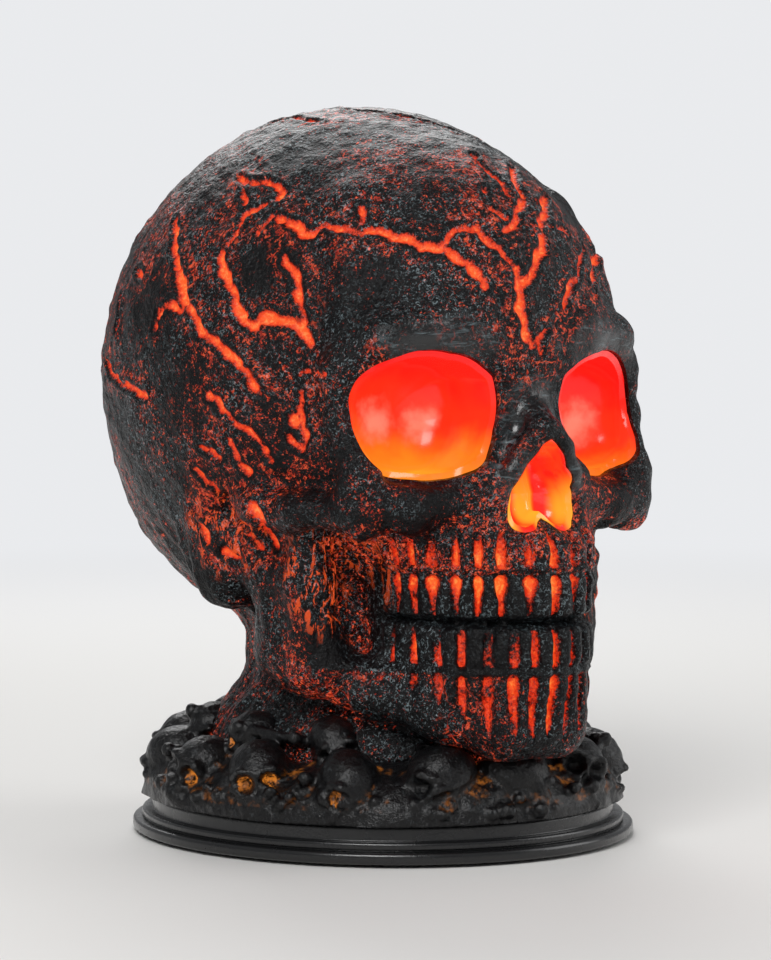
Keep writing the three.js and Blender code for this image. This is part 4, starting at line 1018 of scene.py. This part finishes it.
# Each bone has its turn round the pile, its reach, height and length, and how far it leans over.
bone_radius = 1.7
bone_spots = [
    (-38, 0.93, 15, 24, 80), (-60, 0.92, 19, 18, 55), (-88, 0.93, 16, 22, 100), (-112, 0.9, 22, 20, 60),
    (14, 0.93, 15, 22, 95), (36, 0.9, 24, 20, 50), (70, 0.93, 16, 24, 85), (105, 0.92, 20, 20, 120),
    (140, 0.93, 16, 22, 75), (168, 0.91, 22, 20, 100), (-145, 0.93, 17, 24, 70), (-10, 0.8, 33, 18, 80),
    (-72, 0.76, 35, 22, 95), (-125, 0.76, 35, 20, 75), (60, 0.76, 35, 20, 100), (155, 0.77, 35, 22, 85),
]
for turn, reach, height, length, lean in bone_spots:
    spot = on_pile(turn, reach, height)
    turn = math.radians(turn)
    lean = math.radians(lean)
    across = Vector((math.cos(turn), math.sin(turn), 0))
    axis = (across * math.sin(lean) + Vector((0, 0, math.cos(lean)))).normalized()
    bpy.ops.mesh.primitive_cylinder_add(vertices=20, radius=bone_radius, depth=length, location=spot,
                                        rotation=axis.to_track_quat("Z", "Y").to_euler())
    pile_parts.append(bpy.context.object)
    knob_side = axis.cross(Vector((0.3, 0.2, 0.9))).normalized()
    for end in (-1, 1):
        for beside in (-1, 1):
            knob = spot + axis * end * length / 2 + knob_side * beside * 1.5
            bpy.ops.mesh.primitive_uv_sphere_add(segments=16, ring_count=10, radius=bone_radius * 1.35,
                                                 location=knob)
            pile_parts.append(bpy.context.object)
rubble = np.random.default_rng(11)
for number in range(rubble_count):
    turn = number * rubble_turn
    spot = on_pile(turn, rubble.uniform(0.93, 0.985), rubble.uniform(12.5, 20))
    bpy.ops.mesh.primitive_ico_sphere_add(subdivisions=2, radius=rubble.uniform(1.3, 2.9), location=spot,
                                          rotation=rubble.uniform(0, 3, 3))
    bpy.context.object.scale = (1, rubble.uniform(0.6, 1.0), rubble.uniform(0.7, 1.5))
    pile_parts.append(bpy.context.object)

ring_grain = 0.73
bpy.ops.mesh.primitive_torus_add(major_segments=96, minor_segments=32, major_radius=pile_middle,
                                 minor_radius=pile_thickness)
ring = bpy.context.object
ring.name = "skull_ring"
mound = places_of(ring) * [0.985, 0.985 * pile_length / pile_breadth, pile_squash] + [0, 0, pile_floor]
swell_of_mound = rough_at(mound, 14, 3) * 1.6 + rough_at(mound, 5, 9) * 0.8
put_places(ring, mound + directions_of(ring) * swell_of_mound[:, None])
pick_only(ring)
for part in pile_parts:
    part.select_set(True)
bpy.ops.object.join()
bpy.ops.object.transform_apply(location=True, rotation=True, scale=True)
apply_modifier(ring, "cast_as_one", "REMESH", mode="VOXEL", voxel_size=ring_grain, use_smooth_shade=True)
apply_modifier(ring, "softened", "SMOOTH", factor=0.5, iterations=1)
ring_at = places_of(ring)
ring_at += directions_of(ring) * (0.22 * rough_at(ring_at, 2.6, 5))[:, None]
ring_at[:, 2] = np.maximum(ring_at[:, 2], pile_floor)
put_places(ring, ring_at)
combine(ring, "DIFFERENCE", raise_skin("neck_room", 120, 90, 4, 0.5))
close_up(ring)

ring_at = places_of(ring)
eye_tree = tree_of(eye_spots)
lit_eyes = {5, 9, 15, 20, 23, 24, 25, 26, 34, 37, 41, 44, 47, 49}
eye_reach = 2.6
eye_light = np.array([1.0 if off < eye_reach and number in lit_eyes else 0.0
                      for _, number, off in (eye_tree.find(place) for place in ring_at)])
mound_reach = np.hypot(np.hypot(ring_at[:, 0], ring_at[:, 1] * pile_breadth / pile_length) - pile_middle,
                       (ring_at[:, 2] - pile_floor) / pile_squash) - pile_thickness
nook = np.clip(1 - mound_reach / 2.4, 0, 1) * (ring_at[:, 2] > pile_floor + 4)
note_down(ring, "nook", np.maximum(nook * 0.45, eye_light))

ring_black = (0.0042, 0.0041, 0.0045, 1)
ring_rubbed_and_highlight_grey = (0.045, 0.052, 0.056, 1)
amber = (0.62, 0.19, 0.022, 1)
ring_paint = new_finish("ring_paint")
in_nook = noted(ring_paint, "nook")
amber_patch = fade(plus(grain(ring_paint, 110, 3, 0.6), times(in_nook, 0.3)), 0.66, 0.86)
amber_share = times(in_nook, amber_patch, fade(grain(ring_paint, 620, 3, 0.6), 0.40, 0.62))
# Bluish-grey flecks on the ring's black: partly rubbed paint, partly painted highlights.
rubbed_and_highlight_share = fade(grain(ring_paint, 640, 4, 0.6, 1.0), 0.57, 0.70)
finish_with(ring_paint, Base_Color=tint(times(rubbed_and_highlight_share, 0.55), ring_black, ring_rubbed_and_highlight_grey),
            Roughness=0.28, Specular_IOR_Level=0.34,
            Emission_Color=tint(amber_share, dark, amber), Emission_Strength=0.9,
            Normal=raised(grain(ring_paint, 520, 4, 0.62), 0.0011, 0.6))
to_lamp(ring)
paint_over(ring, ring_paint)
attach(ring, "lamp")
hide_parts("small_skull_ring")
pick_only(ring)
bpy.ops.object.shade_smooth()

# Plinth: an oval tray turned with a broad band, a bead above it and a rounded top edge, open
# below for the bottom cover. Its section runs outside, over the top and back along the inside.
plinth_corners = [(68.3, 1.0, 0.4), (76.25, 1.0, 1.1), (76.25, 4.5, 1.3), (72.9, 4.5, 0.35),
                  (72.9, 4.9, 0.35), (73.4, 4.9, 0.5), (73.4, 7.1, 0.9), (70.3, 7.1, 0.35),
                  (70.3, 11.4, 1.1), (44.0, 11.4, 0.4), (44.0, 8.4, 0.4), (68.3, 8.4, 0.4)]
plinth_lengthening = 165 / 152.6
corner_steps = 5
section = []
for number, (reach, height, round_by) in enumerate(plinth_corners):
    here = np.array([reach, height])
    before = np.array(plinth_corners[number - 1][:2]) - here
    after = np.array(plinth_corners[(number + 1) % len(plinth_corners)][:2]) - here
    start = here + before / np.linalg.norm(before) * min(round_by, np.linalg.norm(before) * 0.45)
    end = here + after / np.linalg.norm(after) * min(round_by, np.linalg.norm(after) * 0.45)
    for share in np.linspace(0, 1, corner_steps):
        section.append(start * (1 - share) ** 2 + 2 * here * share * (1 - share) + end * share ** 2)
section = np.array(section)
plinth_sides = 256
bpy.ops.mesh.primitive_torus_add(major_segments=plinth_sides, minor_segments=len(section), major_radius=60,
                                 minor_radius=5)
plinth = bpy.context.object
plinth.name = "oval_plinth"
round_places = places_of(plinth)
around = np.arctan2(round_places[:, 1], round_places[:, 0])
along = section[np.arange(len(round_places)) % len(section)]
put_places(plinth, np.stack([along[:, 0] * np.cos(around), along[:, 0] * np.sin(around) * plinth_lengthening,
                             along[:, 1]], axis=1))
plinth_paint = new_finish("plinth_satin")
haze = fade(grain(plinth_paint, 60, 4, 0.6), 0.35, 0.75)
finish_with(plinth_paint, Base_Color=(0.006, 0.0062, 0.0068, 1), Roughness=plus(0.24, times(haze, 0.12)),
            Coat_Weight=0.25, Coat_Roughness=0.2,
            Normal=raised(grain(plinth_paint, 900, 2), 0.0002, 0.3))
to_lamp(plinth)
paint_over(plinth, plinth_paint)
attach(plinth, "lamp")
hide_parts("base_plinth")
pick_only(plinth)
bpy.ops.object.shade_smooth_by_angle(angle=math.radians(45))

# Underside and inside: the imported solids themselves, each with a procedural finish of its own.
# A finish has its colour, its share of metal, its roughness, its grain, how deep the grain is in
# metres, and the pieces that have it.
plain_finishes = {
    "cover_grain": ((0.016, 0.016, 0.018, 1), 0.0, 0.55, 1100, 0.0005, ("bottom_cover", "battery_door",
                                                                      "switch_housing")),
    "cell_sleeve": ((0.05, 0.09, 0.06, 1), 0.2, 0.35, 300, 0.0001, ("battery_right", "battery_middle",
                                                                   "battery_left")),
    "nickel": ((0.62, 0.61, 0.58, 1), 1.0, 0.28, 700, 0.0001, ("positive_contact", "front_cell_link",
                                                              "rear_cell_link", "negative_contact")),
    "zinc": ((0.52, 0.53, 0.55, 1), 1.0, 0.34, 900, 0.0001,
             tuple("cover_screw_%d" % n for n in (1, 2, 3, 4))
             + tuple("shell_screw_%d" % n for n in (1, 2, 3, 4)) + ("board_screw_1", "board_screw_2")),
    "knob_white": ((0.66, 0.65, 0.60, 1), 0.0, 0.4, 800, 0.0002, ("switch_knob",)),
    "board_mask": ((0.02, 0.15, 0.07, 1), 0.0, 0.3, 250, 0.0001, ("light_board",)),
    "chip_case": ((0.012, 0.012, 0.012, 1), 0.0, 0.5, 1500, 0.0002, ("flicker_chip",)),
    "foot_rubber": ((0.014, 0.014, 0.014, 1), 0.0, 0.8, 1300, 0.0005,
                    tuple("rubber_foot_%d" % n for n in (1, 2, 3, 4))),
    "red_lead": ((0.42, 0.015, 0.012, 1), 0.0, 0.4, 600, 0.0001, ("positive_wire", "switch_wire")),
    "black_lead": ((0.012, 0.012, 0.013, 1), 0.0, 0.4, 600, 0.0001, ("negative_wire",)),
}
for name, (colour, metal, gloss, size, depth, node_names) in plain_finishes.items():
    finish = new_finish(name)
    cloud = grain(finish, size, 3)
    deep_colour = tuple(part * 0.8 for part in colour[:3]) + (1,)
    finish_with(finish, Base_Color=tint(cloud, deep_colour, colour), Metallic=metal,
                Roughness=plus(gloss - 0.06, times(cloud, 0.12)), Normal=raised(cloud, depth, 0.6))
    for node_name in node_names:
        paint_over(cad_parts[node_name], finish)
lens_glow = new_finish("led_lens")
finish_with(lens_glow, Base_Color=(0.9, 0.3, 0.05, 1), Roughness=0.12, Emission_Color=(1.0, 0.32, 0.04, 1),
            Emission_Strength=plus(1.2, grain(lens_glow, 300, 2)))
for number in (1, 2, 3, 4):
    paint_over(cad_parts["led_%d" % number], lens_glow)
